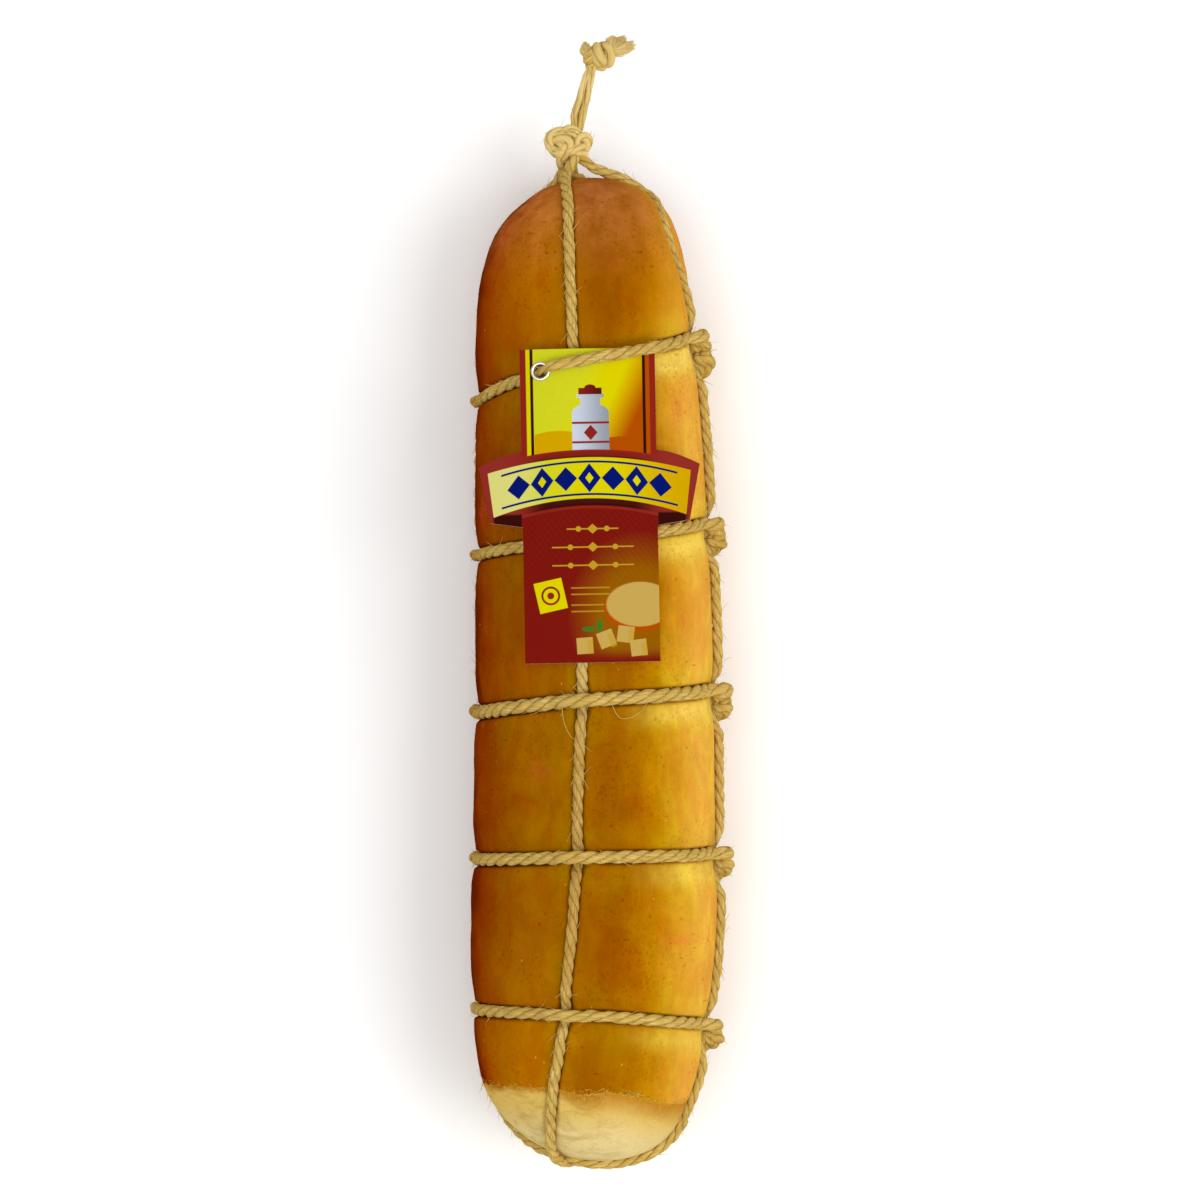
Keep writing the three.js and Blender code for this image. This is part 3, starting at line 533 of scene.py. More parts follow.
class Recipe:
    """Builds one material's nodes in plain steps."""

    def __init__(self, name: str) -> None:
        """Starts a material with one surface shader."""
        self.material = bpy.data.materials.new(name)
        self.material.use_nodes = True
        self.tree = self.material.node_tree
        self.shader = next(n for n in self.tree.nodes if n.type == "BSDF_PRINCIPLED")

    def node(self, kind: str, *inputs: object, **settings: object) -> bpy.types.Node:
        """Adds a node.

        Args:
            kind: Blender's name for the node.
            inputs: Sockets or values for its inputs, in order; None leaves one as it is.
            settings: Properties set before the inputs.

        Returns:
            The node.
        """
        made = self.tree.nodes.new(kind)
        for key, value in settings.items():
            setattr(made, key, value)
        for slot, value in zip([s for s in made.inputs if s.enabled], inputs):
            self.join(value, slot)
        return made

    def join(self, value: object, slot: Socket) -> None:
        """Links a socket, or sets a value, on an input."""
        if isinstance(value, Socket):
            self.tree.links.new(value, slot)
        elif value is not None:
            if slot.type == "RGBA" and len(value) == 3:
                value = (*value, 1.0)
            slot.default_value = value

    def math(self, operation: str, *values: object, clamp: bool = False) -> Socket:
        """Returns the result of one arithmetic step."""
        return self.node("ShaderNodeMath", *values, operation=operation, use_clamp=clamp).outputs[0]

    def product(self, *values: object) -> Socket:
        """Returns the product of two or more values."""
        total = values[0]
        for value in values[1:]:
            total = self.math("MULTIPLY", total, value)
        return total

    def flip(self, value: object) -> Socket:
        """Returns 1 less the value."""
        return self.math("SUBTRACT", 1.0, value)

    def stirred(self, value: object, noise: Socket, amount: float) -> Socket:
        """Returns a value moved up and down by noise, over the given amount in all."""
        return self.math("ADD", value, self.math("MULTIPLY_ADD", noise, amount, -amount / 2))

    def step(self, value: object, low: float, high: float, start: float = 0.0, end: float = 1.0) -> Socket:
        """Returns a smooth change from start at low to end at high."""
        if low > high:
            low, high, start, end = high, low, end, start
        made = self.node("ShaderNodeMapRange", value, low, high, start, end, interpolation_type="SMOOTHSTEP")
        return made.outputs[0]

    def factor(self, name: str, part: str = "Fac") -> Socket:
        """Returns one of the mesh's own attributes, as a number or as its other part."""
        return self.node("ShaderNodeAttribute", attribute_name=name).outputs[part]

    def place(self, stretch: Point = (1, 1, 1)) -> Socket:
        """Returns the object's own coordinates in millimetres, scaled on each axis."""
        own = self.node("ShaderNodeTexCoord").outputs["Object"]
        return self.scaled(own, tuple(s / MM for s in stretch))

    def scaled(self, vector: Socket, by: Point) -> Socket:
        """Returns a vector or colour with its three parts multiplied."""
        return self.node("ShaderNodeVectorMath", vector, by, operation="MULTIPLY").outputs[0]

    def noise(self, vector: Socket, scale: float, detail: float = 3, rough: float = 0.5,
              warp: float = 0) -> Socket:
        """Returns cloudy noise between 0 and 1."""
        made = self.node("ShaderNodeTexNoise", vector)
        for name, value in (("Scale", scale), ("Detail", detail), ("Roughness", rough), ("Distortion", warp)):
            made.inputs[name].default_value = value
        return made.outputs[0]

    def drifts(self, vector: Socket, scale: float, low: float, high: float) -> Socket:
        """Returns soft patches, 0 where plain noise is below low and 1 where it is above high."""
        return self.step(self.noise(vector, scale, 2), low, high)

    def dots(self, vector: Socket, scale: float, edge: float, core: float) -> Socket:
        """Returns a dot in each cell of a pattern, 1 within the core and 0 past the edge."""
        made = self.node("ShaderNodeTexVoronoi", vector)
        made.inputs["Scale"].default_value = scale
        return self.step(made.outputs["Distance"], edge, core)

    def tint(self, share: object, a: object, b: object, way: str = "MIX") -> Socket:
        """Returns colour a with a share of colour b mixed in."""
        made = self.node("ShaderNodeMix", data_type="RGBA", blend_type=way, clamp_factor=True)
        for slot, value in zip((made.inputs[0], made.inputs[6], made.inputs[7]), (share, a, b)):
            self.join(value, slot)
        return made.outputs[2]

    def toned(self, share: object, colour: Socket, by: Point) -> Socket:
        """Returns a colour with a share of itself, multiplied by three factors, mixed in."""
        return self.tint(share, colour, self.scaled(colour, by))

    def ramp(self, value: Socket, *stops: tuple[float, Colour]) -> Socket:
        """Returns the colour of a ramp at a value."""
        made = self.node("ShaderNodeValToRGB", value)
        ramp = made.color_ramp
        while len(ramp.elements) < len(stops):
            ramp.elements.new(0.5)
        for element, (at, colour) in zip(ramp.elements, stops):
            element.position = at
            element.color = (*colour, 1.0)
        return made.outputs[0]

    def relief(self, *layers: tuple[Socket, float]) -> Socket:
        """Returns a normal from heights, each with its own depth in millimetres."""
        normal = None
        for height, depth in layers:
            made = self.node("ShaderNodeBump")
            made.inputs["Strength"].default_value = 1
            made.inputs["Distance"].default_value = depth * MM
            self.join(height, made.inputs["Height"])
            self.join(normal, made.inputs["Normal"])
            normal = made.outputs[0]
        return normal

    def finish(self, colour: object, rough: object, normal: Socket | None = None,
               **own: float) -> Material:
        """Sets the shader.

        Args:
            colour: Base colour, a socket or a value.
            rough: Roughness, a socket or a value.
            normal: A bumped normal.
            own: Values for the shader's own sockets, spaces as underscores.

        Returns:
            The finished material.
        """
        self.join(colour, self.shader.inputs["Base Color"])
        self.join(rough, self.shader.inputs["Roughness"])
        self.join(normal, self.shader.inputs["Normal"])
        for name, value in own.items():
            self.join(value, self.shader.inputs[name.replace("_", " ")])
        return self.material


def srgb(red: float, green: float, blue: float) -> Colour:
    """Returns the linear colour of a screen colour given in 0 to 255."""
    shares = (red / 255, green / 255, blue / 255)
    return tuple(v / 12.92 if v <= 0.04045 else ((v + 0.055) / 1.055) ** 2.4 for v in shares)


# ---- gathered meshes


class Batch:
    """Vertices, faces and vertex values gathered for one mesh."""

    def __init__(self) -> None:
        """Starts empty."""
        self.points: list[Array] = []
        self.faces: list[list[int]] = []
        self.values: dict[str, list[Array]] = {}
        self.count = 0

    def add(self, points: Array, faces: Sequence[Sequence[int]], **values: Array) -> None:
        """Adds a shell.

        Args:
            points: Its vertices.
            faces: Its faces, counted from its own first vertex.
            values: A value or vector for each vertex, by attribute name.
        """
        self.points.append(points)
        self.faces.extend((np.asarray(face) + self.count).tolist() for face in faces)
        self.count += len(points)
        for name, value in values.items():
            self.values.setdefault(name, []).append(np.asarray(value, np.float32))

    def build(self, name: str, material: Material) -> Object:
        """Makes the smooth-shaded object, in metres and in its place.

        Args:
            name: The piece's name.
            material: Its finish.

        Returns:
            The object, at the origin.
        """
        mesh = bpy.data.meshes.new(name)
        mesh.from_pydata(placed(np.vstack(self.points)).tolist(), [], self.faces)
        for key, parts in self.values.items():
            data = np.concatenate(parts)
            kind = "FLOAT_VECTOR" if data.ndim == 2 else "FLOAT"
            layer = mesh.attributes.new(key, kind, "POINT")
            layer.data.foreach_set("vector" if data.ndim == 2 else "value", data.ravel())
        mesh.polygons.foreach_set("use_smooth", np.ones(len(mesh.polygons), bool))
        mesh.materials.append(material)
        mesh.update()
        return linked(name, mesh)


def linked(name: str, data: bpy.types.ID) -> Object:
    """Returns a new object of the scene with the given data."""
    made = bpy.data.objects.new(name, data)
    bpy.context.scene.collection.objects.link(made)
    return made


def strip_faces(rings: int, around: int) -> Array:
    """Returns the quads between rings of points, each ring closed on itself."""
    ring, side = np.meshgrid(np.arange(rings - 1), np.arange(around), indexing="ij")
    a = ring * around + side
    b = ring * around + (side + 1) % around
    return np.stack([a, b, b + around, a + around], -1).reshape(-1, 4)


# ---- twine


@dataclass(frozen=True)
class Sisal:
    """The straw-coloured fibre: its shades, its stain by the cheese with painted shade in it, its crease
    shadows.
    """

    pale: Colour = srgb(212, 182, 96)
    deep: Colour = srgb(166, 126, 34)
    bleached: Colour = srgb(240, 216, 148)
    stain: Colour = srgb(150, 88, 12)
    shadow: Colour = srgb(92, 58, 8)

    def material(self) -> Material:
        """Returns the fibre's material."""
        r = Recipe("sisal")
        lie = r.factor("fibre", "Vector")
        fine = r.noise(r.scaled(lie, (1, 1, 0.05)), 3.4, 4, 0.6)
        broad = r.noise(r.scaled(lie, (1, 1, 0.1)), 1.0, 4, 0.65)
        body = r.tint(r.step(fine, 0.32, 0.7), self.deep, self.pale)
        body = r.tint(r.product(r.step(broad, 0.52, 0.72), 0.5), body, self.bleached)
        body = r.tint(r.product(r.step(broad, 0.46, 0.3), 0.55), body, self.deep)
        body = r.tint(r.factor("bleach"), body, self.bleached)
        # the stain holds real smoke stain and painted shade on low knot turns, the far side and the front
        # twine
        body = r.tint(r.product(r.factor("stain"), r.step(fine, 0.1, 0.8, 1.0, 0.6)), body, self.stain)
        crease = r.product(r.factor("crease"), r.step(broad, 0.25, 0.7, 0.85, 0.25))
        body = r.tint(crease, body, self.shadow)
        normal = r.relief((broad, 0.4), (fine, 0.25))
        return r.finish(body, r.step(fine, 0.2, 0.8, 0.85, 0.65), normal, Specular_IOR_Level=0.0)


@dataclass(frozen=True)
class Twine:
    """How a twine is laid up from its yarns.

    A yarn's circle has its middle at `core` and its radius is `yarn`, both shares of the
    twine's radius. `wander`, `uneven` and `lumpy` are how far its turn, its thickness and
    each yarn's own thickness vary.
    """

    radius: float
    pitch: float = 20
    yarns: int = 3
    core: float = 0.37
    yarn: float = 0.63
    arc: int = 10
    turns: Side = Side.LEFT
    wander: float = 0.25
    uneven: float = 0.05
    lumpy: float = 0.06
    crease_from: float = 0.74

    def outline(self) -> tuple[Array, Array, Array]:
        """Works out the lobed outline of one ring.

        Returns:
            The points as shares of the radius, their angle about their own yarn, and how
            near each lies to a crease.
        """
        spread = math.pi / self.yarns
        cut = self.core * math.cos(spread)
        reach = cut + math.sqrt(self.yarn ** 2 - (self.core * math.sin(spread)) ** 2)
        edge = math.atan2(reach * math.sin(spread), reach * math.cos(spread) - self.core)
        own = np.linspace(-edge, edge, self.arc + 1)[:-1]
        points, angles = [], []
        for j in range(self.yarns):
            turn = 2 * math.pi * j / self.yarns
            x = self.core * math.cos(turn) + self.yarn * np.cos(turn + own)
            y = self.core * math.sin(turn) + self.yarn * np.sin(turn + own)
            points.append(np.column_stack([x, y]))
            angles.append(turn + own)
        near = np.tile(ease(np.abs(own), edge * self.crease_from, edge), self.yarns)
        return np.vstack(points), np.concatenate(angles), near

    def frames(self, line: Array) -> tuple[Array, Array]:
        """Returns two directions square to a line and to each other, at each of its points."""
        way = unit(np.gradient(line, axis=0))
        side = np.empty_like(way)
        start = np.array([0.0, 0, 1]) if abs(way[0][2]) < 0.8 else np.array([1.0, 0, 0])
        side[0] = unit(start - way[0] * (start @ way[0]))
        for i in range(1, len(line)):
            held = side[i - 1] - way[i] * (side[i - 1] @ way[i])
            side[i] = held / np.linalg.norm(held)
        return side, np.cross(way, side)

    def lay(self, batch: Batch, line: Array, seed: int, share: Array | float = 1.0,
            closed_ends: float = 2.5, **values: Array | float) -> None:
        """Adds the twine along a line.

        Args:
            batch: The mesh it goes into.
            line: Its middle, in even steps.
            seed: Picks its unevenness.
            share: Its thickness along the line as a share of the radius.
            closed_ends: Over how many millimetres its two ends round off.
            values: Extra values along the line, by attribute name.
        """
        rng = np.random.default_rng(seed)
        side, other = self.frames(line)
        along = run(line)
        outline, own, near = self.outline()
        phase = rng.uniform(0, 2 * math.pi)
        twist = phase + self.turns.value * 2 * math.pi * along / self.pitch
        twist = twist + self.wander * ripple(along[:, None], seed + 1, 90, 25, 5)
        thick = share * (1 + self.uneven * ripple(along[:, None], seed + 2, 40, 7, 6))
        if closed_ends:
            left = np.minimum(along, along[-1] - along)
            thick = thick * np.sqrt(np.clip(left / closed_ends, 0.05, 1))
        swells = [1 + self.lumpy * ripple(along[:, None], seed + 10 + j, 24, 6, 5) for j in range(self.yarns)]
        lobes = np.repeat(np.column_stack(swells), self.arc, 1)
        lobes = (lobes + np.roll(lobes, 1, 1)) / 2
        cos, sin = np.cos(twist)[:, None], np.sin(twist)[:, None]
        u = (outline[:, 0] * cos - outline[:, 1] * sin) * lobes * self.radius * thick[:, None]
        v = (outline[:, 0] * sin + outline[:, 1] * cos) * lobes * self.radius * thick[:, None]
        points = line[:, None] + side[:, None] * u[..., None] + other[:, None] * v[..., None]
        points[..., 2] = np.clip(points[..., 2], LOWEST, HIGHEST)
        around = len(outline)
        faces = strip_faces(len(line), around).tolist()
        faces += [list(range(around))[::-1], [(len(line) - 1) * around + k for k in range(around)]]
        fibre_turn = own[None] + twist[:, None] * (1 + self.core / self.yarn)
        size = self.yarn * self.radius
        fibre = np.stack([size * np.cos(fibre_turn), size * np.sin(fibre_turn),
                          np.repeat(along[:, None] + seed * 37.0, around, 1)], -1)
        flat = {name: np.repeat(np.broadcast_to(np.asarray(value, float), len(line)), around)
                for name, value in values.items()}
        batch.add(points.reshape(-1, 3), faces, fibre=fibre.reshape(-1, 3),
                  crease=np.tile(near, len(line)), **flat)


@dataclass(frozen=True)
class Fuzz:
    """Stray fibres that stand off the twine, one for `every` so many millimetres.

    `lean`, `curl` and `vary` are ranges. `apart` keeps the draws apart from the twine's.
    """

    every: float = 1.3
    thickness: float = 0.15
    short: float = 1.6
    long: float = 7.0
    lean: Pair = (0.25, 0.9)
    curl: Pair = (0.05, 0.5)
    vary: Pair = (0.7, 1.2)
    points: int = 6
    lowest: Point = (-59.9, -234.4, 0.3)
    highest: Point = (66.8, 302.4, 123.6)
    apart: int = 100

    def grow(self, batch: Batch, line: Array, radius: float, seed: int, **values: float) -> int:
        """Adds fibres along a line.

        Args:
            batch: The mesh they go into.
            line: The twine's middle.
            radius: The twine's radius.
            seed: The twine's own, which picks their places and curls.
            values: One value for all of them, by attribute name.

        Returns:
            How many there are.
        """
        rng = np.random.default_rng(self.apart + seed)
        way = unit(np.gradient(line, axis=0))
        length = np.linalg.norm(np.diff(line, axis=0), axis=1).sum()
        low, high = (np.array(side) - LIE * np.array([1, 0, 0]) for side in (self.lowest, self.highest))
        grown = 0
        for _ in range(int(length / self.every)):
            i = rng.integers(3, len(line) - 3)
            out = unit(np.cross(way[i], rng.normal(size=3)))
            if out @ self.outward(line[i]) < -0.1:
                out = -out
            reach = self.short + (self.long - self.short) * rng.power(0.35)
            lift = rng.uniform(*self.lean)
            root = line[i] + out * radius * 0.8
            start = unit(way[i] * rng.choice([-1, 1]) + out * lift)
            curl = np.cross(start, rng.normal(size=3)) * rng.uniform(*self.curl)
            t = np.linspace(0, 1, self.points)[:, None]
            hair = root + reach * (start * t + curl * t * t / 2)
            if (hair < low).any() or (hair > high).any() or self.buried(hair[2:]):
                continue
            thick = self.thickness * rng.uniform(*self.vary)
            fibre_tube(batch, hair, thick, rng.uniform(0, FIBRE_MARKS), **values)
            grown += 1
        return grown

    def outward(self, point: Array) -> Array:
        """Returns the direction away from the cheese's axis at a point."""
        x, z = float(FORM.sway(point[1])), float(FORM.axis(point[1]))
        return unit(point - np.array([x, np.clip(point[1], -195, 195), z]))

    def buried(self, hair: Array) -> bool:
        """Tells whether a fibre runs into the rind."""
        inside = np.abs(hair[:, 1]) < FORM.half - 1
        return bool(inside.any() and (FORM.level(hair[inside]) < 0).any())


def fibre_tube(batch: Batch, line: Array, radius: float, mark: float, **values: float) -> None:
    """Adds one fine fibre that thins to its tip.

    Args:
        batch: The mesh it goes into.
        line: Its middle, from root to tip.
        radius: Its radius at the root.
        mark: An offset into the fibre noise.
        values: One value for the whole fibre, by attribute name.
    """
    way = unit(np.gradient(line, axis=0))
    side = unit(np.cross(way, [0.31, 0.17, 0.93]))
    other = np.cross(way, side)
    thin = radius * (1 - 0.75 * np.linspace(0, 1, len(line)) ** 2)
    angle = np.arange(3) * 2 * math.pi / 3
    u, v = (np.cos(angle)[None] * thin[:, None])[..., None], (np.sin(angle)[None] * thin[:, None])[..., None]
    points = (line[:, None] + side[:, None] * u + other[:, None] * v).reshape(-1, 3)
    count = len(points)
    flat = {"crease": np.zeros(count), "stain": np.zeros(count), "bleach": np.full(count, 0.25)}
    flat.update({name: np.full(count, value) for name, value in values.items()})
    batch.add(points, strip_faces(len(line), 3).tolist(), fibre=np.full((count, 3), mark), **flat)


# ---- knots and loop


@dataclass(frozen=True)
class Bight:
    """A fat turn of slack twine in a knot: radius, middle line, thickening, and its painted shade where it
    lies low.
    """

    radius: float
    points: tuple[Point, ...]
    swell: float = 0.0
    pitch: float = 26
    under_shade: float = 0.0

    def lay(self, batch: Batch, origin: Array, seed: int, bleach: float) -> Array:
        """Adds the turn.

        Args:
            batch: The mesh it goes into.
            origin: The knot's middle.
            seed: Picks its unevenness.
            bleach: How pale the fibre is.

        Returns:
            Its even middle line.
        """
        line = spline(np.array(self.points, float) + origin, 0.5)
        share = 1 + self.swell * np.sin(np.linspace(0, math.pi, len(line)))
        twine = Twine(self.radius, pitch=self.pitch, core=0.34, yarn=0.66, uneven=0.06)
        # painted shade: the low turns take the stain's colour and lose their paleness
        twine.lay(batch, line, seed, share, closed_ends=self.radius, stain=self.under_shade,
                  bleach=bleach * (1 - self.under_shade))
        return line


@dataclass(frozen=True)
class Knot:
    """A knot laid as fat turns of slack twine, given from its middle.

    `bleach` is how pale the turns are, and its last value holds for the rest of them.
    """

    name: str
    middle: Point
    seed: int
    bleach: tuple[float, ...]
    hairs: tuple[tuple[str, float], ...]
    bights: tuple[Bight, ...]

    def at(self, *points: Point) -> Array:
        """Returns points given from the knot's middle."""
        return np.array(self.middle) + points

    def build(self, fuzz: Fuzz, material: Material) -> Object:
        """Makes the knot with its stray fibres.

        Args:
            fuzz: The stray fibres.
            material: The fibre's finish.

        Returns:
            The object.
        """
        batch = Batch()
        for i, bight in enumerate(self.bights):
            bleach = self.bleach[min(i, len(self.bleach) - 1)]
            line = bight.lay(batch, np.array(self.middle), self.seed + i, bleach)
            fuzz.grow(batch, line, bight.radius, self.seed + i, **dict(self.hairs))
        return batch.build(f"{self.name}_bights", material)


CROWN_KNOT = Knot("crown_knot", (-11.9, 249.4, 53.5), 40, (0.5,), (("stain", 0.1),), (
    Bight(2.25, ((-1.6, 6.2, -1.6), (-3.6, 6.9, 0.2), (-6.4, 6.7, 1.2), (-8.8, 4.7, 1.2), (-9.5, 1.8, 0.8),
                 (-8.5, -1.0, 0.8), (-6.2, -3.4, 0.4), (-4.4, -4.6, -1.2)), swell=0.08),
    Bight(2.75, ((-8.4, 3.4, -1.2), (-6.2, 3.9, 1.4), (-3.4, 3.8, 2.5), (-0.8, 2.5, 2.9), (-0.4, 0.4, 2.8),
                 (-2.2, -1.7, 2.3), (-4.6, -3.4, 1.2), (-6.2, -4.2, -1.0)), swell=0.1),
    Bight(2.2, ((-8.6, -0.6, -0.8), (-7.4, -1.6, 1.6), (-5.4, -2.6, 2.2), (-3.4, -4.2, 1.4),
                (-2.4, -5.6, -0.4))),
    Bight(2.3, ((-7.0, 2.2, 0.2), (-5.4, 2.4, 1.9), (-3.6, 1.2, 2.5), (-3.4, -0.9, 2.1), (-4.4, -2.8, 1.0)),
          pitch=18),
    Bight(1.8, ((-4.2, 5.4, -1.4), (-2.6, 7.6, 0.2), (0.2, 8.6, 1.0), (2.8, 7.9, 1.2), (4.9, 6.0, 0.9),
                (5.6, 4.0, -0.6))),
    Bight(1.8, ((-2.6, 5.6, 0.6), (-0.4, 6.6, 1.8), (2.2, 5.6, 2.0), (3.9, 3.4, 1.4), (3.6, 1.4, 0.0))),
    Bight(2.35, ((2.8, -1.4, -0.6), (3.5, 1.8, 1.4), (5.2, 4.2, 2.0), (7.6, 4.4, 1.4), (8.9, 2.2, 0.5),
                 (8.2, -0.4, -0.7), (6.0, -2.2, -1.8)), swell=0.08),
    Bight(2.0, ((-1.8, -4.4, 0.6), (0.6, -2.6, 2.5), (3.6, -1.0, 2.6), (6.4, -0.2, 1.8), (8.4, 0.4, 0.0))),
    Bight(2.15, ((-0.6, -4.6, 0.0), (2.0, -3.9, 1.4), (5.0, -3.1, 1.5), (7.2, -3.6, 0.4), (6.6, -5.2, -0.8),
                 (4.2, -5.8, -2.0))),
    Bight(2.3, ((0.6, -2.6, 0.6), (-2.2, -4.6, 1.6), (-4.2, -6.6, 1.0), (-3.8, -9.0, 0.2),
                (-1.6, -10.6, -1.4)), under_shade=0.3),
    Bight(2.2, ((0.2, -4.6, 0.2), (0.4, -7.6, -0.6), (1.6, -10.4, -1.4)), under_shade=0.3),
    Bight(3.1, ((-7.0, 2.0, -1.6), (-3.0, 1.0, -1.9), (2.0, 0.4, -1.9), (6.6, 1.4, -1.8)), under_shade=0.5),
    Bight(2.9, ((-2.5, 4.4, -1.2), (0.6, 3.8, -0.6), (2.4, 0.2, -0.2), (0.6, -4.6, -1.2)), under_shade=0.5)))
END_KNOT = Knot("end_knot", (3.2, 293.0, 46.5), 60, (0.4, 0.4, 0.2), (("bleach", 0.8),), (
    Bight(3.3, ((-1.6, 4.2, -3.0), (-1.9, 4.0, -0.2), (-1.7, 2.0, 1.3), (-0.8, -0.9, 1.5), (0.5, -3.3, 0.7),
                (1.4, -4.6, -1.2)), swell=0.06, pitch=54),
    Bight(3.1, ((1.0, 5.4, -2.2), (2.7, 4.9, -0.4), (4.1, 3.5, 0.6), (4.7, 1.0, 0.9), (4.3, -1.5, 0.6),
                (3.3, -3.4, -0.4), (2.2, -4.6, -2.2)), pitch=50),
    Bight(2.2, ((-6.9, 3.6, -1.6), (-6.6, 0.8, -0.4), (-6.0, -2.2, -0.2), (-5.2, -4.6, -0.8)), pitch=16),
    Bight(1.7, ((-8.0, 0.4, -1.0), (-6.5, 0.5, 1.2), (-4.6, 1.5, 1.4), (-3.2, 2.6, 0.0)), pitch=30),
    Bight(1.7, ((-7.9, -2.2, -1.0), (-6.3, -2.3, 1.3), (-4.3, -1.3, 1.4), (-2.6, -0.2, 0.0)), pitch=30),
    Bight(1.6, ((-6.9, -4.8, -1.0), (-5.5, -4.7, 0.9), (-4.0, -4.2, 0.8), (-2.8, -3.4, -0.6)), pitch=30),
    Bight(2.2, ((-1.8, -4.0, -1.6), (-0.6, -5.1, 0.2), (1.0, -5.7, 0.9), (3.0, -4.9, 0.2)), pitch=40),
    Bight(3.0, ((-4.2, 3.0, -1.6), (-1.0, 1.0, -1.2), (3.0, -1.6, -1.4)), pitch=30, under_shade=0.5),
    Bight(2.6, ((-3.6, -1.6, -1.6), (-2.6, -3.4, -1.2), (0.6, -4.2, -1.6)), pitch=30, under_shade=0.9),
    Bight(2.4, ((-2.0, 4.6, -2.0), (2.4, 4.6, -1.4), (6.0, 2.6, -1.4)), pitch=30, under_shade=0.5)))


@dataclass(frozen=True)
class Fray:
    """A cut end whose fibres fan out.

    `roots` is the line it leaves the knot by, and `tips` are its locks' tips, each with how
    much paler it is. The spreads are of the fibres' roots and tips.
    """

    name: str
    roots: tuple[Pair, Pair]
    tips: tuple[Point, ...]
    count: int
    root_spread: Point = (0.4, 0.4, 1.0)
    tip_spread: Point = (0.28, 0.28, 1.3)
    bend: float = 0.5
    bleach: float = 0.5
    bleach_spread: float = 0.35
    lowest: Point = (-7.2, 280, 43.2)
    highest: Point = (20.7, 303.3, 50.4)

    def brush(self, knot: Knot, material: Material) -> Object:
        """Makes the frayed end.

        Args:
            knot: The knot it comes out of.
            material: The fibre's finish.

        Returns:
            The object.
        """
        rng = np.random.default_rng(self.count)
        batch = Batch()
        tips, roots = np.array(self.tips, float), np.array(self.roots, float)
        level = knot.middle[2]
        for _ in range(self.count):
            at = rng.uniform(0, len(tips) - 1)
            share = at / (len(tips) - 1)
            tip = blend(tips[int(at)], tips[min(int(at) + 1, len(tips) - 1)], at % 1)
            tip = blend(tip, tips[round(at)], 0.5)
            start = [*blend(roots[0], roots[1], share), level] + rng.normal(size=3) * self.root_spread
            end = [*tip[:2], level] + rng.normal(size=3) * self.tip_spread
            bend = rng.normal(size=3) * self.bend
            t = np.linspace(-0.12, rng.uniform(0.72, 1.0), 6)[:, None]
            hair = blend(start, end, t) + bend * np.sin(math.pi * t)
            if (hair < self.lowest).any() or (hair > self.highest).any():
                continue
            thick, mark = rng.uniform(0.14, 0.28), rng.uniform(0, FIBRE_MARKS)
            bleach = tip[2] + self.bleach + rng.uniform(-self.bleach_spread, self.bleach_spread)
            fibre_tube(batch, hair, thick, mark, bleach=float(np.clip(bleach, 0, 1)))
        return batch.build(f"{self.name}_fibres", material)


LONG_FRAY = Fray("frayed_end_long", ((7.0, 299.4), (10.6, 293.6)), (
    (6.9, 301.4, 0.8), (8.2, 302.6, 0.9), (9.6, 302.8, 0.8), (10.3, 302.4, 0.6), (11.2, 301.2, 0.2),
    (12.6, 302.2, 0.1), (13.8, 302.9, 0.2), (15.0, 303.0, 0.3), (15.9, 302.0, 0.2), (16.3, 299.8, 0.0),
    (18.0, 299.9, 0.3), (19.7, 300.4, 0.6), (20.3, 298.8, 0.7), (20.2, 296.6, 0.5), (17.6, 295.6, 0.2),
    (15.4, 294.8, 0.1), (13.2, 294.0, 0.0)), 1500)
SHORT_FRAY = Fray("frayed_end_short", ((-4.8, 294.2), (-2.6, 294.6)), (
    (-6.3, 296.6, 0.3), (-5.8, 298.2, 0.2), (-5.0, 299.8, 0.3), (-3.8, 300.2, 0.2), (-3.1, 299.2, 0.3),
    (-2.4, 297.6, 0.2)), 420)


@dataclass(frozen=True)
class HangingLoop:
    """The slack doubled twine between the two knots, each point with its thickness as a share.

    It runs from the height `low_end` to the height `high_end` and bows up by `bow` between.
    """

    bow: float = 1.4
    low_end: float = 53.5
    high_end: float = 46.5
    twine: Twine = Twine(1.65, pitch=70, core=0.3, yarn=0.7, uneven=0.07)
    left: tuple[Point, ...] = (
        (-9.3, 257.1, 1.0), (-9.3, 264.2, 1.03), (-6.9, 271.4, 1.2), (-5.4, 278.1, 1.05), (-3.4, 284.3, 0.85),
        (-1.8, 288.6, 0.85))
    right: tuple[Point, ...] = (
        (-6.7, 257.1, 0.9), (-5.4, 264.2, 1.2), (-3.4, 271.4, 0.95), (-2.1, 278.1, 0.95), (-0.9, 284.3, 1.08),
        (-0.1, 288.0, 1.0))
    behind: float = 1.3

    def line(self, side: Side) -> tuple[Array, Array]:
        """Lays one of the two twines.

        Args:
            side: Which of the two.

        Returns:
            Its middle line, and its thickness along it as a share of the usual.
        """
        marks = np.array(self.left if side is Side.LEFT else self.right, float)
        line = spline(np.column_stack([marks[:, :2], np.zeros(len(marks))]), 1.3)
        t = np.linspace(0, 1, len(line))
        line[:, 2] = blend(self.low_end, self.high_end, t) + self.bow * np.sin(math.pi * t)
        return line, np.interp(line[:, 1], marks[:, 1], marks[:, 2])

    def middle(self) -> Array:
        """Returns the middle line of the dark yarn that lies behind the two."""
        (left, _), (right, _) = (self.line(side) for side in Side)
        count = min(len(left), len(right))
        return spaced((left[:count] + right[:count]) / 2 - [0, 0, self.behind], 0.6)


# ---- studio


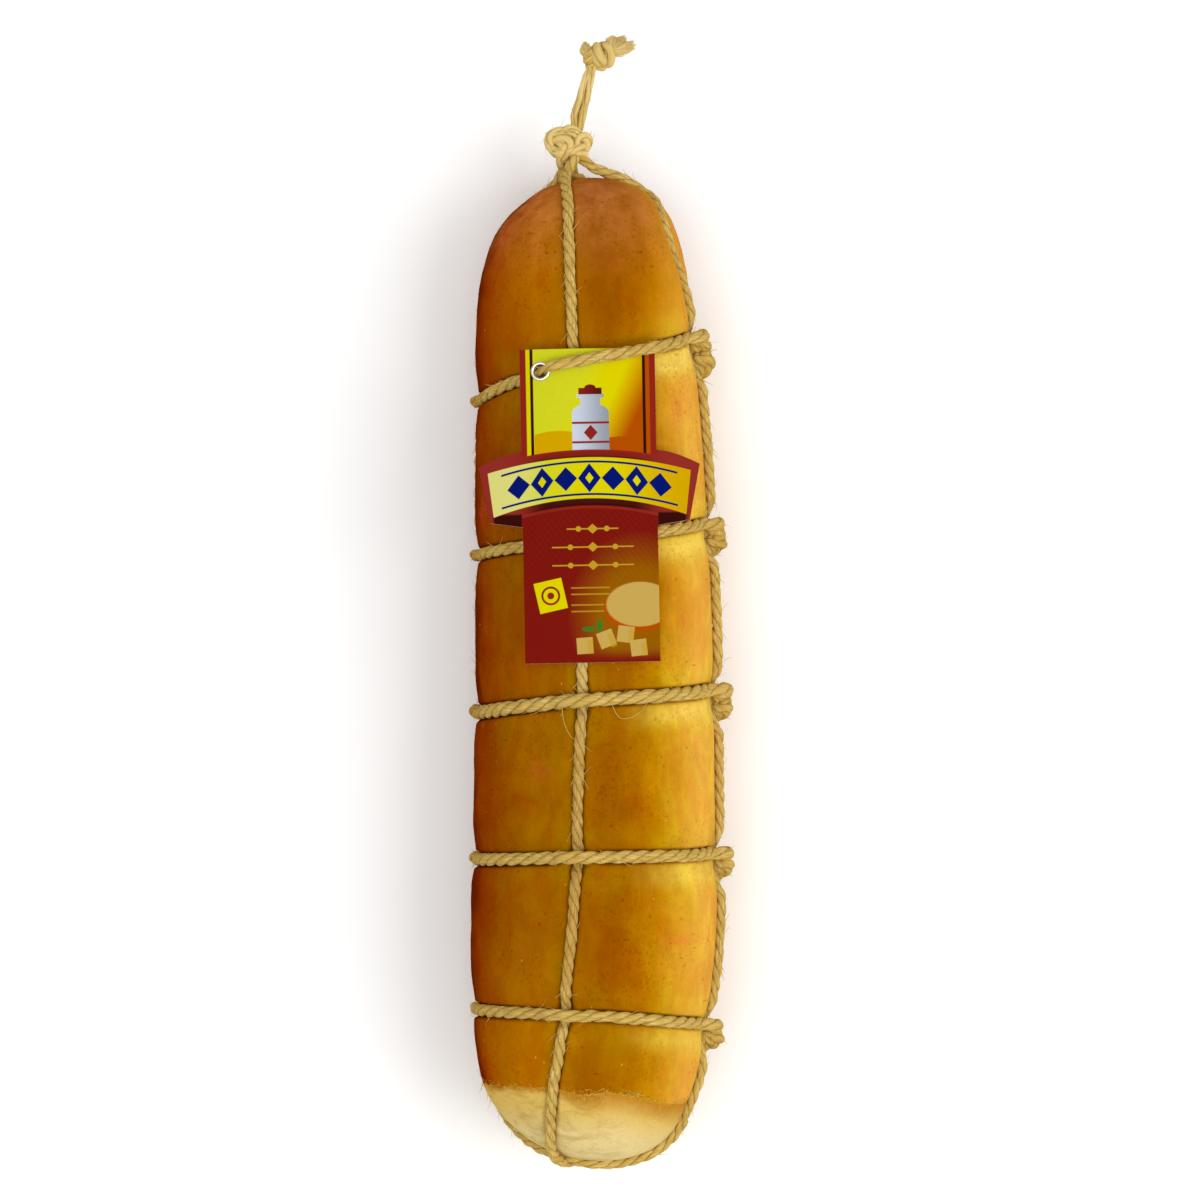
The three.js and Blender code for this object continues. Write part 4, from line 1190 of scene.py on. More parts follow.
@dataclass(frozen=True)
class Panel:
    """A square panel of soft light, in metres and watts."""

    name: str
    place: Point
    size: float
    power: float

    def add(self, aim: Point) -> None:
        """Adds the panel, facing a point."""
        bpy.ops.object.light_add(type="AREA", location=self.place)
        lamp = bpy.context.object
        lamp.name = self.name
        lamp.data.size = self.size
        lamp.data.energy = self.power
        lamp.rotation_euler = (Vector(aim) - Vector(self.place)).to_track_quat("-Z", "Y").to_euler()


@dataclass(frozen=True)
class Studio:
    """A pale floor, soft light from the tied side, and the camera straight above."""

    camera: Point = (2.85, 50, 3058)
    lens: float = 189
    sensor: float = 36
    floor_size: float = 14
    floor_tone: Colour = (0.97, 0.97, 0.965)
    sky: float = 0.5
    aim: Point = (0, 0.05, 0.05)
    panels: tuple[Panel, ...] = (
        Panel("key", (2.6, -0.5, 3.9), 2.8, 110), Panel("fill", (-0.8, -0.4, 4.3), 3.2, 85))

    def take_camera(self) -> None:
        """Adds the camera and makes it the scene's own."""
        bpy.ops.object.camera_add(location=[v * MM for v in self.camera], rotation=(0, 0, 0))
        camera = bpy.context.object
        camera.data.lens = self.lens
        camera.data.sensor_width = self.sensor
        bpy.context.scene.camera = camera

    def light(self) -> None:
        """Sets the soft lights, the sky and the plain colour rendering."""
        world = bpy.data.worlds.new("studio")
        bpy.context.scene.world = world
        world.use_nodes = True
        ground = world.node_tree.nodes["Background"]
        ground.inputs["Color"].default_value = (1, 1, 1, 1)
        ground.inputs["Strength"].default_value = self.sky
        for panel in self.panels:
            panel.add(self.aim)
        bpy.context.scene.view_settings.view_transform = "Standard"

    def lay_floor(self) -> None:
        """Adds the plain floor under the cheese."""
        bpy.ops.mesh.primitive_plane_add(size=self.floor_size, location=(0, 0, 0))
        floor = bpy.context.object
        floor.name = "floor"
        r = Recipe("pale_floor")
        grain = r.noise(r.place(), 0.02, 2)
        tone = r.tint(r.product(grain, 0.2), self.floor_tone, tuple(v * 0.97 for v in self.floor_tone))
        floor.data.materials.append(r.finish(tone, 0.9, Specular_IOR_Level=0.1))


# ---- rind


@dataclass(frozen=True)
class SmokedRind:
    """The smoked coat: dark on the far side, golden on the tied side, bare cream at the foot.

    `shades` are the coat's colours by place across, 0 at the far side and 1 at the tied one: the smoke's
    own colour with painted light in it, painted shade deepening the far side and painted light the tied one.
    The fields from `honey` on are factors that warm or darken the colour under them.
    """

    shades: tuple[tuple[float, Colour], ...] = (
        (0.0, srgb(104, 28, 0)), (0.04, srgb(137, 53, 0)), (0.12, srgb(144, 75, 0)),
        (0.24, srgb(150, 86, 0)), (0.38, srgb(147, 88, 0)), (0.6, srgb(152, 90, 0)),
        (0.69, srgb(160, 96, 0)), (0.77, srgb(177, 117, 4)), (0.85, srgb(200, 142, 31)),
        (0.94, srgb(220, 160, 59)))
    # pale bands under the hoops: partly less smoked rind, partly painted highlight
    pale: Colour = srgb(236, 202, 92)
    ink: Colour = srgb(206, 74, 50)
    # painted sheen: a pale glow on the dome's top that stands in for the reflected light
    haze: Colour = srgb(190, 116, 62)
    speck: Colour = srgb(222, 170, 70)
    cream: Colour = srgb(222, 200, 140)
    butter: Colour = srgb(212, 178, 92)
    warm: Colour = srgb(178, 120, 28)
    thread: Colour = srgb(222, 176, 62)
    honey: Point = (1.04, 1.22, 1.0)
    amber: Point = (0.98, 0.78, 0.7)
    olive: Point = (1.03, 1.3, 1.0)
    # smoke stain and painted shade, above the hoops and beside the front twine
    brown: Point = (0.80, 0.70, 0.7)
    freckle: Point = (0.74, 0.56, 0.5)
    dot: Point = (0.8, 0.66, 0.6)
    pit: Point = (0.66, 0.4, 0.32)
    # darkens the rind next to the twine: painted contact shade
    pressed: Point = (0.6, 0.45, 0.3)
    dull: Point = (0.76, 0.72, 0.56)
    fibrous: Point = (0.84, 0.76, 0.58)

    def material(self) -> Material:
        """Returns the rind's material."""
        r = Recipe("smoked_rind")
        place = r.place()
        patch = r.noise(place, 0.1, 4, 0.62, 0.3)
        mottle = r.noise(place, 0.9, 4, 0.6)
        turn = r.stirred(r.factor("turn"), r.noise(place, 0.03, 4, 0.55, 0.4), 0.11)
        # painted light brightens the far side near both ends; the noise adds random lighter and darker
        # patches
        light = r.stirred(r.factor("light"), patch, 0.36)
        light = r.stirred(light, r.noise(r.place((1, 0.2, 1)), 0.2, 3, 0.6), 0.3)
        light = r.stirred(light, r.noise(place, 1.7, 2, 0.6), 0.34)
        coat = r.node("ShaderNodeVectorMath", self.patches(r, turn, patch), operation="SCALE")
        r.join(r.math("ADD", light, 1.0), coat.inputs["Scale"])
        coat, pit = self.spots(r, coat.outputs[0], mottle)
        bare, thread, coated, fold = self.bare_foot(r, turn, mottle)
        colour = r.tint(r.product(thread, 0.8), r.tint(coated, bare, coat), self.thread)
        normal = r.relief((patch, 0.35), (mottle, 0.05), (pit, -0.2), (coated, 0.12), (thread, 0.25),
                          (fold, 0.25))
        rough = r.stirred(r.math("MULTIPLY_ADD", coated, -0.2, 0.62), mottle, 0.12)
        return r.finish(colour, rough, normal, Specular_IOR_Level=0.0)

    def patches(self, r: Recipe, turn: Socket, patch: Socket) -> Socket:
        """Lays out the coat's broad colours, its pale bands of less smoke and painted highlight, and its red
        stains.

        Args:
            r: The recipe.
            turn: Place across, 0 at the far side and 1 at the tied one.
            patch: Middling noise that the rest of the rind shares.

        Returns:
            The coat's colour.
        """
        # smoke colour and painted light: painted shade darkens the far side, painted light brightens the tied
        # side
        coat = r.ramp(turn, *self.shades)
        hue = r.noise(r.place((1, 0.6, 1)), 0.05, 5, 0.66, 0.5)
        dome = r.factor("dome")
        for share, by in ((r.product(r.step(hue, 0.49, 0.59), 0.8, r.flip(dome)), self.honey),
                          (r.product(r.step(hue, 0.49, 0.4), r.step(turn, 0.7, 0.9, 0.75, 0.35)), self.amber),
                          (r.product(dome, 0.45), self.amber),
                          (r.product(r.factor("olive"), 0.9), self.olive),
                          # smoke stain and painted shade by the hoops and the front twine
                          (r.product(r.factor("brown"), 0.8), self.brown)):
            coat = r.toned(share, coat, by)
        # pale bands under the hoops on the tied side: partly less smoked rind, partly painted highlight
        pale_band_and_highlight = r.product(r.factor("pale"), r.step(turn, 0.6, 0.92), r.step(patch, 0.25, 0.6, 0.55, 0.9))
        coat = r.tint(pale_band_and_highlight, coat, self.pale)
        # painted sheen over the top of the dome
        coat = r.tint(r.product(r.factor("haze"), r.step(patch, 0.2, 0.7), 0.55), coat, self.haze)
        ragged = r.step(r.noise(r.place(), 0.4, 4, 0.65, 0.6), 0.36, 0.62)
        return r.tint(r.product(r.factor("stain"), ragged), coat, self.ink)

    def spots(self, r: Recipe, coat: Socket, mottle: Socket) -> tuple[Socket, Socket]:
        """Adds the freckles, the dark pits and dashes, and the pale specks.

        Args:
            r: The recipe.
            coat: The coat's colour.
            mottle: Fine noise that the rest of the rind shares.

        Returns:
            The spotted colour, and where the pits are.
        """
        place = r.place()
        cluster = r.drifts(place, 0.028, 0.44, 0.62)
        freckle = r.product(r.dots(r.place((1, 0.9, 1)), 0.42, 0.46, 0.1), r.step(mottle, 0.32, 0.6))
        coat = r.toned(r.product(freckle, r.step(cluster, 0, 1, 0.2, 0.72)), coat, self.freckle)
        dot = r.product(r.dots(place, 0.8, 0.34, 0.12), r.step(cluster, 0, 1, 0.12, 0.5))
        coat = r.toned(dot, coat, self.dot)
        pit = r.product(r.dots(place, 0.15, 0.17, 0.04), r.drifts(place, 0.05, 0.46, 0.54))
        dash = r.product(r.dots(r.place((0.4, 1.7, 0.4)), 0.16, 0.16, 0.06), r.drifts(place, 0.04, 0.54, 0.6))
        pit = r.math("MAXIMUM", pit, dash)
        coat = r.toned(r.product(pit, 0.55), coat, self.pit)
        speck = r.product(r.dots(r.place((1, 0.5, 1)), 0.2, 0.09, 0.03), r.drifts(place, 0.04, 0.46, 0.54))
        coat = r.tint(r.product(speck, 0.55), coat, self.speck)
        # painted contact shade: the rind darkens where it meets the twine
        return r.toned(r.product(r.factor("contact"), 0.14), coat, self.pressed), pit

    def bare_foot(self, r: Recipe, turn: Socket, mottle: Socket) -> tuple[Socket, Socket, Socket, Socket]:
        """Adds the cream foot that the coat leaves bare, and the coat's crinkled edge.

        Args:
            r: The recipe.
            turn: Place across, 0 at the far side and 1 at the tied one.
            mottle: Fine noise that the rest of the rind shares.

        Returns:
            The foot's colour, the threads along the edge, where the coat lies, and the folds.
        """
        place = r.place()
        film = r.factor("film")
        rag = r.stirred(film, r.noise(place, 0.16, 4, 0.62, 0.5), 4.4)
        reach = r.step(turn, 0.28, 0.5, 3.5, 11.0)
        fade = r.step(r.math("DIVIDE", r.stirred(rag, mottle, 3.0), reach), -1.2, 0.0)
        bare = r.tint(fade, r.tint(r.step(film, -26, -6), self.cream, self.butter), self.warm)
        streak = r.noise(r.place((0.5, 1, 0.7)), 0.12, 5, 0.7, 0.9)
        streaked = r.product(r.step(streak, 0.42, 0.66), r.step(turn, 0.42, 0.8, 0.9, 0.2))
        bare = r.toned(streaked, bare, self.dull)
        strands = r.noise(r.place((1.0, 0.22, 0.6)), 0.9, 4, 0.65, 1.0)
        bare = r.toned(r.product(r.step(strands, 0.5, 0.68), 0.5), bare, self.fibrous)
        bare = r.tint(r.product(r.step(mottle, 0.45, 0.75), 0.22), bare, self.butter)
        wrinkle = r.noise(r.place((1, 0.25, 0.6)), 0.6, 4, 0.6, 1.4)
        wrinkled = r.product(r.step(wrinkle, 0.55, 0.7), r.step(turn, 0.7, 0.3, 0.12, 0.5))
        bare = r.tint(wrinkled, bare, self.butter)
        crinkle = r.stirred(film, r.noise(place, 0.3, 3, 0.6, 1.2), 6.0)
        thread = r.product(r.step(r.math("ABSOLUTE", crinkle), 0.42, 0.1), r.drifts(place, 0.12, 0.36, 0.5))
        far = r.math("MULTIPLY_ADD", r.noise(r.place((1, 1.2, 1)), 0.22, 3, 0.6, 2.0), 8.0, -5.2)
        second = r.step(r.math("ABSOLUTE", r.math("ADD", film, far)), 0.4, 0.1)
        thread = r.math("MAXIMUM", thread, r.product(second, r.drifts(place, 0.07, 0.45, 0.55)))
        fold = r.product(r.step(film, 1, -5), wrinkle)
        return bare, thread, r.step(rag, -0.5, 0.5), fold


@dataclass(frozen=True)
class Cheese:
    """The cheese, grooved where the twine lies in it.

    `bands` is how pale the rind is under each hoop, partly less smoke and partly painted highlight, and
    each of `stains` is an angle, a height, a width, a tallness and a strength. `film_edge` is where the coat
    ends.
    """

    groove_room: float = 0.15
    groove_near: float = 12
    deepest: float = 9
    rim: float = 0.9
    rim_slope: float = 2.06
    bands: tuple[float, ...] = (1.4, 0.7, 0.7, 0.5, 0.35)
    hoop_rows: tuple[float, ...] = (14, 12, 10, 8.2, 6.8, 5.7, 4.9, 4.2, 3.5, 2.8, 2.1, 1.4, 0.7)
    strand_columns: tuple[float, ...] = (10.5, 8.4, 6.8, 5.6, 4.8, 4.1, 3.4, 2.7, 2.0, 1.3, 0.6)
    row_gap: float = 2.2
    column_gap: float = 2.4
    end_rows: int = 36
    end_fill: float = 0.8
    join: float = 6
    net: Net = Net()
    stains: tuple[tuple[float, float, float, float, float], ...] = (
        (50.3, 122.2, 4.0, 7.5, 0.6), (49.2, 23.5, 2.0, 7.0, 0.4), (56.8, -38.5, 1.8, 6.0, 0.55),
        (-26.7, -46.8, 6, 4, 0.25), (-68, 76, 5, 6, 0.5), (58.4, -90.4, 2.2, 4.5, 0.3),
        (45, -110.8, 12, 2.2, 0.3), (46, -127.4, 12, 2.4, 0.4), (68, -126, 2.2, 5.5, 0.8))
    film_edge: Stations = Stations(
        (-180, -199), (-120, -195), (-70, -196.5), (-45, -196), (-20, -196.5), (0, -198.5), (10, -197.5),
        (22, -199), (40, -203), (60, -205), (85, -203), (115, -198), (150, -200), (180, -199))

    def rows(self) -> list[Callable[[Array], Array]]:
        """Returns the rows from top to foot, each a height for an angle in degrees."""
        share = np.linspace(0, 1, self.end_rows + 1)
        caps = FORM.half * (1 - (self.end_fill * share) ** 2) ** (1 / FORM.squareness)
        aside = [*self.hoop_rows, 0, *[-v for v in self.hoop_rows[::-1]]]
        blocks = [[self.level_row(y) for y in caps]]
        blocks += [[self.hoop_row(hoop, away) for away in aside] for hoop in HOOPS]
        blocks += [[self.level_row(-y) for y in caps[::-1]]]
        rows = list(blocks[0])
        for above, below in zip(blocks, blocks[1:]):
            gap = float(above[-1](np.zeros(1))[0] - below[0](np.zeros(1))[0])
            count = round(gap / self.row_gap)
            rows += [self.between_rows(above[-1], below[0], n / count) for n in range(1, count)]
            rows += below
        return rows

    def level_row(self, y: float) -> Callable[[Array], Array]:
        """Returns a row at one height."""
        return lambda degrees: np.full(np.shape(degrees), y)

    def hoop_row(self, hoop: Hoop, away: float) -> Callable[[Array], Array]:
        """Returns a row that keeps its distance from a hoop all the way round."""
        height = self.net.height(hoop)
        tied = self.net.meets("tied", hoop)
        return lambda degrees: away + blend(
            height(degrees), height(degrees - 360), ease(degrees, tied - self.join, tied + self.join))

    def between_rows(self, above: Callable, below: Callable, share: float) -> Callable[[Array], Array]:
        """Returns a row a share of the way between two others."""
        return lambda degrees: blend(above(degrees), below(degrees), share)

    def columns(self) -> list[Callable[[Array], Array]]:
        """Returns the columns round the cheese, each an angle for a height."""
        order = ["far", "front", "tied", "under", "far"]
        aside = [*[-v for v in self.strand_columns], 0, *self.strand_columns[::-1]]
        columns = []
        for i, name in enumerate(order[:-1]):
            columns += [self.strand_column(name, away, 0) for away in aside]
            last = self.strand_column(name, aside[-1], 0)
            following = self.strand_column(order[i + 1], aside[0], 360 if i == 3 else 0)
            gap = math.radians(float(following(0.0) - last(0.0))) * FORM.radius
            count = round(gap / self.column_gap)
            columns += [self.between_rows(last, following, n / count) for n in range(1, count)]
        return columns

    def strand_column(self, name: str, away: float, more: float) -> Callable[[Array], Array]:
        """Returns a column that keeps its distance from a strand."""
        angle = STRANDS[name].angle
        return lambda y: angle(y) + more + np.degrees(away / FORM.barrel(np.asarray(y, float)))

    def grid(self) -> tuple[Array, Array]:
        """Returns the height and angle of every vertex, a row for each row of the rind."""
        rows, columns = self.rows(), self.columns()
        y = np.column_stack([[float(row(np.zeros(1))[0]) for row in rows]] * len(columns))
        degrees = np.zeros_like(y)
        for _ in range(4):
            degrees = np.column_stack([wrapped(column(y[:, j])) for j, column in enumerate(columns)])
            y = np.vstack([row(degrees[i]) for i, row in enumerate(rows)])
        return y, degrees

    def groove(self, p: Array, normal: Array, lines: dict[str, tuple[Array, float]]) -> tuple[Array, Array]:
        """Finds the print that each twine leaves in the rind.

        Args:
            p: Points on the smooth form.
            normal: Its normals there.
            lines: Each twine's middle line and radius.

        Returns:
            The depth of the print and the distance to the nearest twine's side.
        """
        depth = np.zeros(len(p))
        nearest = np.full(len(p), np.inf)
        for line, radius in lines.values():
            tree = kdtree.KDTree(len(line))
            for i, point in enumerate(line):
                tree.insert(point, i)
            tree.balance()
            found = np.array([tree.find(point)[1] for point in p])
            to = line[found] - p
            over = np.einsum("ij,ij->i", to, normal)
            aside = np.sqrt(np.maximum(np.einsum("ij,ij->i", to, to) - over ** 2, 0))
            reach = radius + self.groove_room
            rim = reach * self.rim
            sunk = np.sqrt(np.maximum(reach ** 2 - np.minimum(aside, rim) ** 2, 0)) - over
            sunk = sunk - np.maximum(aside - rim, 0) * self.rim_slope
            soft = (sunk + np.sqrt(sunk ** 2 + 0.25)) / 2 - 0.02
            near = np.abs(over) < self.groove_near
            depth = np.where(near, np.maximum(depth, np.where(soft > 0.03, soft, 0)), depth)
            nearest = np.minimum(nearest, np.hypot(aside, np.maximum(over, 0)) - radius)
        return np.minimum(depth, self.deepest), nearest

    def build(self, lines: dict[str, tuple[Array, float]], material: Material) -> Object:
        """Makes the cheese.

        Args:
            lines: Each twine's middle line and radius.
            material: The rind's finish.

        Returns:
            The object.
        """
        y, degrees = self.grid()
        rings, around = y.shape
        inner = slice(1, rings - 1)
        smooth = FORM.on_side(y[inner].ravel(), degrees[inner].ravel(), 0.0)
        normal = unit(FORM.slope(smooth))
        depth, nearest = self.groove(smooth, normal, lines)
        calm = ease(nearest, 1, 9)
        wave = 0.30 * ripple(smooth, 11, 70, 18, 8) + 0.10 * ripple(smooth, 12, 14, 5, 6)
        film = smooth[:, 1] - self.film_edge(FORM.bearing(smooth))
        crinkle = 0.28 * ripple(smooth * [1, 1.6, 1], 13, 7, 2.6, 9) * bump(film - 1, 6)
        points = smooth + normal * (-depth + calm * (wave + crinkle))[:, None]
        points[:, 2] = np.maximum(points[:, 2], 0.4)
        top, foot = ([float(FORM.sway(v)), v, float(FORM.axis(v))] for v in (y[0, 0], y[-1, 0]))
        vertices = np.vstack([top, points, foot])
        faces = (strip_faces(rings - 2, around) + 1).tolist()
        last = len(vertices) - 1
        faces += [[0, 1 + (k + 1) % around, 1 + k] for k in range(around)]
        low = last - around
        faces += [[last, low + k, low + (k + 1) % around] for k in range(around)]
        values = self.marks(vertices)
        # painted contact shade next to every twine
        values["contact"] = np.concatenate([[0], 1 - ease(nearest, -0.8, 2.2), [0]])
        batch = Batch()
        batch.add(vertices, faces, **values)
        return batch.build("rind", material)

    def marks(self, p: Array) -> dict[str, Array]:
        """Returns the values that the rind's finish is laid out by.

        Args:
            p: The vertices.

        Returns:
            Values by attribute name.
        """
        y, degrees = p[:, 1], FORM.bearing(p)
        turn = 0.5 + 0.5 * np.sin(np.radians(degrees))
        arc = np.radians(wrapped(degrees - STRANDS["front"].angle(y))) * FORM.barrel(y)
        pale, brown, olive = np.zeros(len(p)), np.zeros(len(p)), np.zeros(len(p))
        for hoop, share in zip(HOOPS, self.bands):
            away = y - self.hoop_row(hoop, 0)(degrees)
            # pale band under each hoop: partly less smoked rind, partly painted highlight
            pale += share * hill(away + 8.5, 5)
            olive += hill(away + 8, 9) + 0.6 * hill(away - 7, 8)
            # darker just above each hoop: smoke stain and painted shade
            brown += 0.45 * hill(away - 4, 4)
        olive += 0.6 * hill(arc + 4, 10)
        olive *= blend(0.55, 1, ease(turn, 0.4, 0.75))
        # darker a little to the tied side of the front twine: smoke stain and painted shade
        brown += 0.9 * hill(arc - 17, 10) * np.clip(1 - olive, 0, 1)
        ends = ease(y, 110, 205) + ease(-y, 120, 190)
        olive += 0.45 * ends * (1 - ease(turn, 0.15, 0.6)) - 0.5 * ease(y, 165, 205) * ease(turn, 0.5, 0.7)
        # painted light on the far side near both ends
        light = 0.32 * ends * (1 - ease(turn, 0.15, 0.7)) * ease(turn, 0, 0.08) - 0.02
        stain = np.zeros(len(p))
        for at, height, wide, tall, share in self.stains:
            across = np.radians(wrapped(degrees - at)) * FORM.barrel(y)
            stain = np.maximum(stain, share * np.exp(-((across / wide) ** 2) - ((y - height) / tall) ** 2))
        return {
            "stain": stain,
            "turn": turn - 0.09 * ease(y, 130, 205) * ease(turn, 0.55, 0.75),
            "dome": 0.9 * ease(y, 130, 190),
            "pale": np.clip(pale, 0, 1),
            "olive": np.clip(olive, 0, 1),
            "brown": np.clip(brown, 0, 1),
            "light": light,
            # where the painted sheen lies on the dome
            "haze": ease(y, 180, 226),
            "film": y - self.film_edge(degrees),
        }


# ---- tag and eyelet

PRINT_SPAN = 200.0  # the millimetres that the print's map spans each way


@dataclass(frozen=True)
class Face:
    """The printed face: masks drawn at places across it, u, and up it, v, in millimetres.

    `soft` is the width of a box's soft edge.
    """

    r: Recipe
    u: Socket
    v: Socket
    soft: float = 0.12

    def away(self, x: float, y: float) -> tuple[Socket, Socket]:
        """Returns how far across and up every place lies from a point."""
        return self.r.math("SUBTRACT", self.u, x), self.r.math("SUBTRACT", self.v, y)

    def box(self, x: float, y: float, half_x: float, half_y: float, turn: float = 0) -> Socket:
        """Returns the mask of a box about a point, with its half-width, half-height and turn in degrees."""
        r = self.r
        du, dv = self.away(x, y)
        if turn:
            c, s = math.cos(math.radians(turn)), math.sin(math.radians(turn))
            du, dv = (r.math("ADD", r.product(du, c), r.product(dv, s)),
                      r.math("SUBTRACT", r.product(dv, c), r.product(du, s)))
        masks = (r.step(r.math("ABSOLUTE", far), half + self.soft, half - self.soft)
                 for far, half in ((du, half_x), (dv, half_y)))
        return r.product(*masks)

    def disc(self, x: float, y: float, wide: float, high: float, soft: float = 0.02) -> Socket:
        """Returns the mask of an oval of the given half-width and half-height."""
        r = self.r
        du, dv = (r.math("DIVIDE", far, half) for far, half in zip(self.away(x, y), (wide, high)))
        return r.step(r.math("ADD", r.product(du, du), r.product(dv, dv)), 1 + 2 * soft, 1 - 2 * soft)

    def lozenge(self, x: float, y: float, wide: float, high: float) -> Socket:
        """Returns the mask of a lozenge of the given half-width and half-height."""
        r = self.r
        du, dv = (r.math("ABSOLUTE", r.math("DIVIDE", far, half))
                  for far, half in zip(self.away(x, y), (wide, high)))
        return r.step(r.math("ADD", du, dv), 1.03, 0.97)

    def fill(self, colour: Socket, shade: object, *masks: Socket) -> Socket:
        """Returns a colour with a shade filled into each mask."""
        for mask in masks:
            colour = self.r.tint(mask, colour, shade)
        return colour


@dataclass(frozen=True)
class PrintedCard:
    """The tag's glossy print: striped panel, arched banner and dark panel, with plain motifs."""

    burgundy: Colour = srgb(130, 32, 22)
    edge: Colour = srgb(133, 41, 34)
    night: Colour = srgb(50, 12, 10)
    red: Colour = srgb(114, 20, 12)
    rust: Colour = srgb(128, 58, 6)
    ember: Colour = srgb(136, 82, 2)
    yellow: Colour = srgb(200, 190, 0)
    lemon: Colour = srgb(192, 194, 30)
    amber: Colour = srgb(192, 148, 0)
    orange: Colour = srgb(162, 70, 0)
    gold: Colour = srgb(176, 140, 30)
    blue: Colour = srgb(6, 20, 98)
    ivory: Colour = srgb(182, 150, 74)
    paper: Colour = srgb(202, 198, 112)
    milk: Colour = srgb(186, 194, 208)
    leaf: Colour = srgb(52, 110, 34)

    def material(self) -> Material:
        """Returns the printed face's material."""
        r = Recipe("printed_card")
        own = r.node("ShaderNodeUVMap", uv_map="print").outputs[0]
        u, v = r.node("ShaderNodeSeparateXYZ", r.scaled(own, (PRINT_SPAN, PRINT_SPAN, 1))).outputs[:2]
        face = Face(r, *(r.math("SUBTRACT", side, PRINT_SPAN / 2) for side in (u, v)))
        colour = self.banner(face, self.lower(face, self.upper(face)))
        fine = r.noise(r.place(), 0.9, 3)
        colour = face.fill(colour, r.tint(1.0, colour, (0.62, 0.62, 0.62), "MULTIPLY"),
                           r.product(r.step(fine, 0.4, 0.8), 0.12))
        normal = r.relief((r.noise(r.place(), 0.05, 2), 0.25), (fine, 0.015))
        return r.finish(colour, r.step(fine, 0.2, 0.8, 0.4, 0.48), normal, Specular_IOR_Level=0.0)

    def upper(self, face: Face) -> Socket:
        """Returns the striped upper panel's colour, with a churn on hills."""
        r, u, v = face.r, face.u, face.v
        glow = r.math("ADD", r.product(u, 0.03), r.product(v, -0.014))
        panel = r.ramp(r.step(glow, -1.1, 0.3), (0.0, self.lemon), (0.25, self.yellow), (0.52, self.yellow),
                       (0.72, self.amber), (0.94, self.orange))
        side = r.math("ABSOLUTE", u)
        colour = r.tint(r.step(side, 25.2, 25.5), panel, self.night)
        colour = r.tint(r.step(side, 26.6, 26.9), colour, r.tint(r.step(u, -5, 5), self.yellow, self.orange))
        colour = r.tint(r.step(side, 28.5, 28.8), colour, self.burgundy)
        inside = r.step(side, 25.2, 25.0)
        colour = face.fill(colour, self.amber, r.product(face.disc(-14, 20, 24, 15), inside))
        colour = face.fill(colour, self.orange, r.product(face.disc(16, 18, 24, 14), inside))
        shade = r.step(u, -9, 12)
        churn = r.tint(shade, self.milk, tuple(c * 0.45 for c in self.milk))
        colour = face.fill(colour, churn, face.box(1, 34, 8.6, 9.5), face.disc(1, 43.2, 8.6, 4.4),
                           face.box(1, 48, 4.6, 3.4), face.box(1, 51.2, 6.4, 0.9))
        lid = r.tint(shade, self.burgundy, self.night)
        colour = face.fill(colour, lid, face.box(1, 53.4, 5.4, 1.5), face.disc(1, 55, 2.6, 1.5))
        return face.fill(colour, self.burgundy, face.box(1, 38.6, 8.6, 0.5), face.box(1, 29.5, 8.6, 0.5),
                         face.lozenge(1, 34, 3.2, 3.6))

    def lower(self, face: Face, colour: Socket) -> Socket:
        """Adds the dark lower panel, with plain gold rules, a badge, a wheel and cubes."""
        r, v = face.r, face.v
        du, dv = face.away(22, -52)
        away = r.math("SQRT", r.math("ADD", r.product(du, du), r.product(dv, dv, 0.7)))
        panel = r.ramp(r.step(away, 2, 46), (0.0, self.ember), (0.3, self.ember), (0.52, self.rust),
                       (0.8, self.red))
        panel = face.fill(panel, self.red, r.step(v, -66, -73))
        lean = r.math("ADD", face.u, r.product(v, 0.8))
        stripes = r.product(r.step(r.math("SINE", r.product(lean, 2.2)), 0.2, 1.0), r.step(v, -50, -15))
        panel = face.fill(panel, self.night, r.product(stripes, 0.16))
        for y, half in ((-11, 12), (-19.5, 19), (-28, 19)):
            discs = (face.disc(1 + x, y, 1.3, 1.3) for x in (-half * 0.55, half * 0.55))
            panel = face.fill(panel, self.gold, face.box(1, y, half, 0.32), face.lozenge(1, y, 2.6, 2.3),
                              *discs)
        rules = (r.product(face.box(-0.5, y, 9, 0.35), 0.7) for y in (-38.5, -41.5, -46.5, -49.5))
        panel = face.fill(panel, self.gold, *rules)
        panel = face.fill(panel, self.yellow, face.box(-19, -42, 6.6, 7.2, 12))
        ring = r.product(face.disc(-19, -42, 4.4, 4.4), r.flip(face.disc(-19, -42, 3.4, 3.4)))
        panel = face.fill(panel, self.burgundy, ring, face.disc(-19, -42, 1.6, 1.6))
        panel = face.fill(panel, self.orange, face.disc(22, -48, 16.5, 11.5))
        panel = face.fill(panel, self.ivory, face.disc(22.4, -46.6, 15.6, 10.4, 0.04))
        for x, y, turn in ((-3.5, -65.5, 3), (6.5, -62.5, 20), (15.5, -60.5, -8), (21.5, -66.8, 6)):
            panel = face.fill(panel, self.ivory, face.box(x, y, 3.8, 3.8, turn))
            panel = face.fill(panel, self.gold, r.product(face.box(x + 2.6, y - 0.6, 1.3, 3.2, turn), 0.6))
        panel = face.fill(panel, self.leaf, face.disc(-1.5, -57.8, 3.2, 1.1), face.disc(3.4, -56.4, 1.2, 3.0))
        return face.fill(colour, panel, r.step(v, 3.4, 3.0))

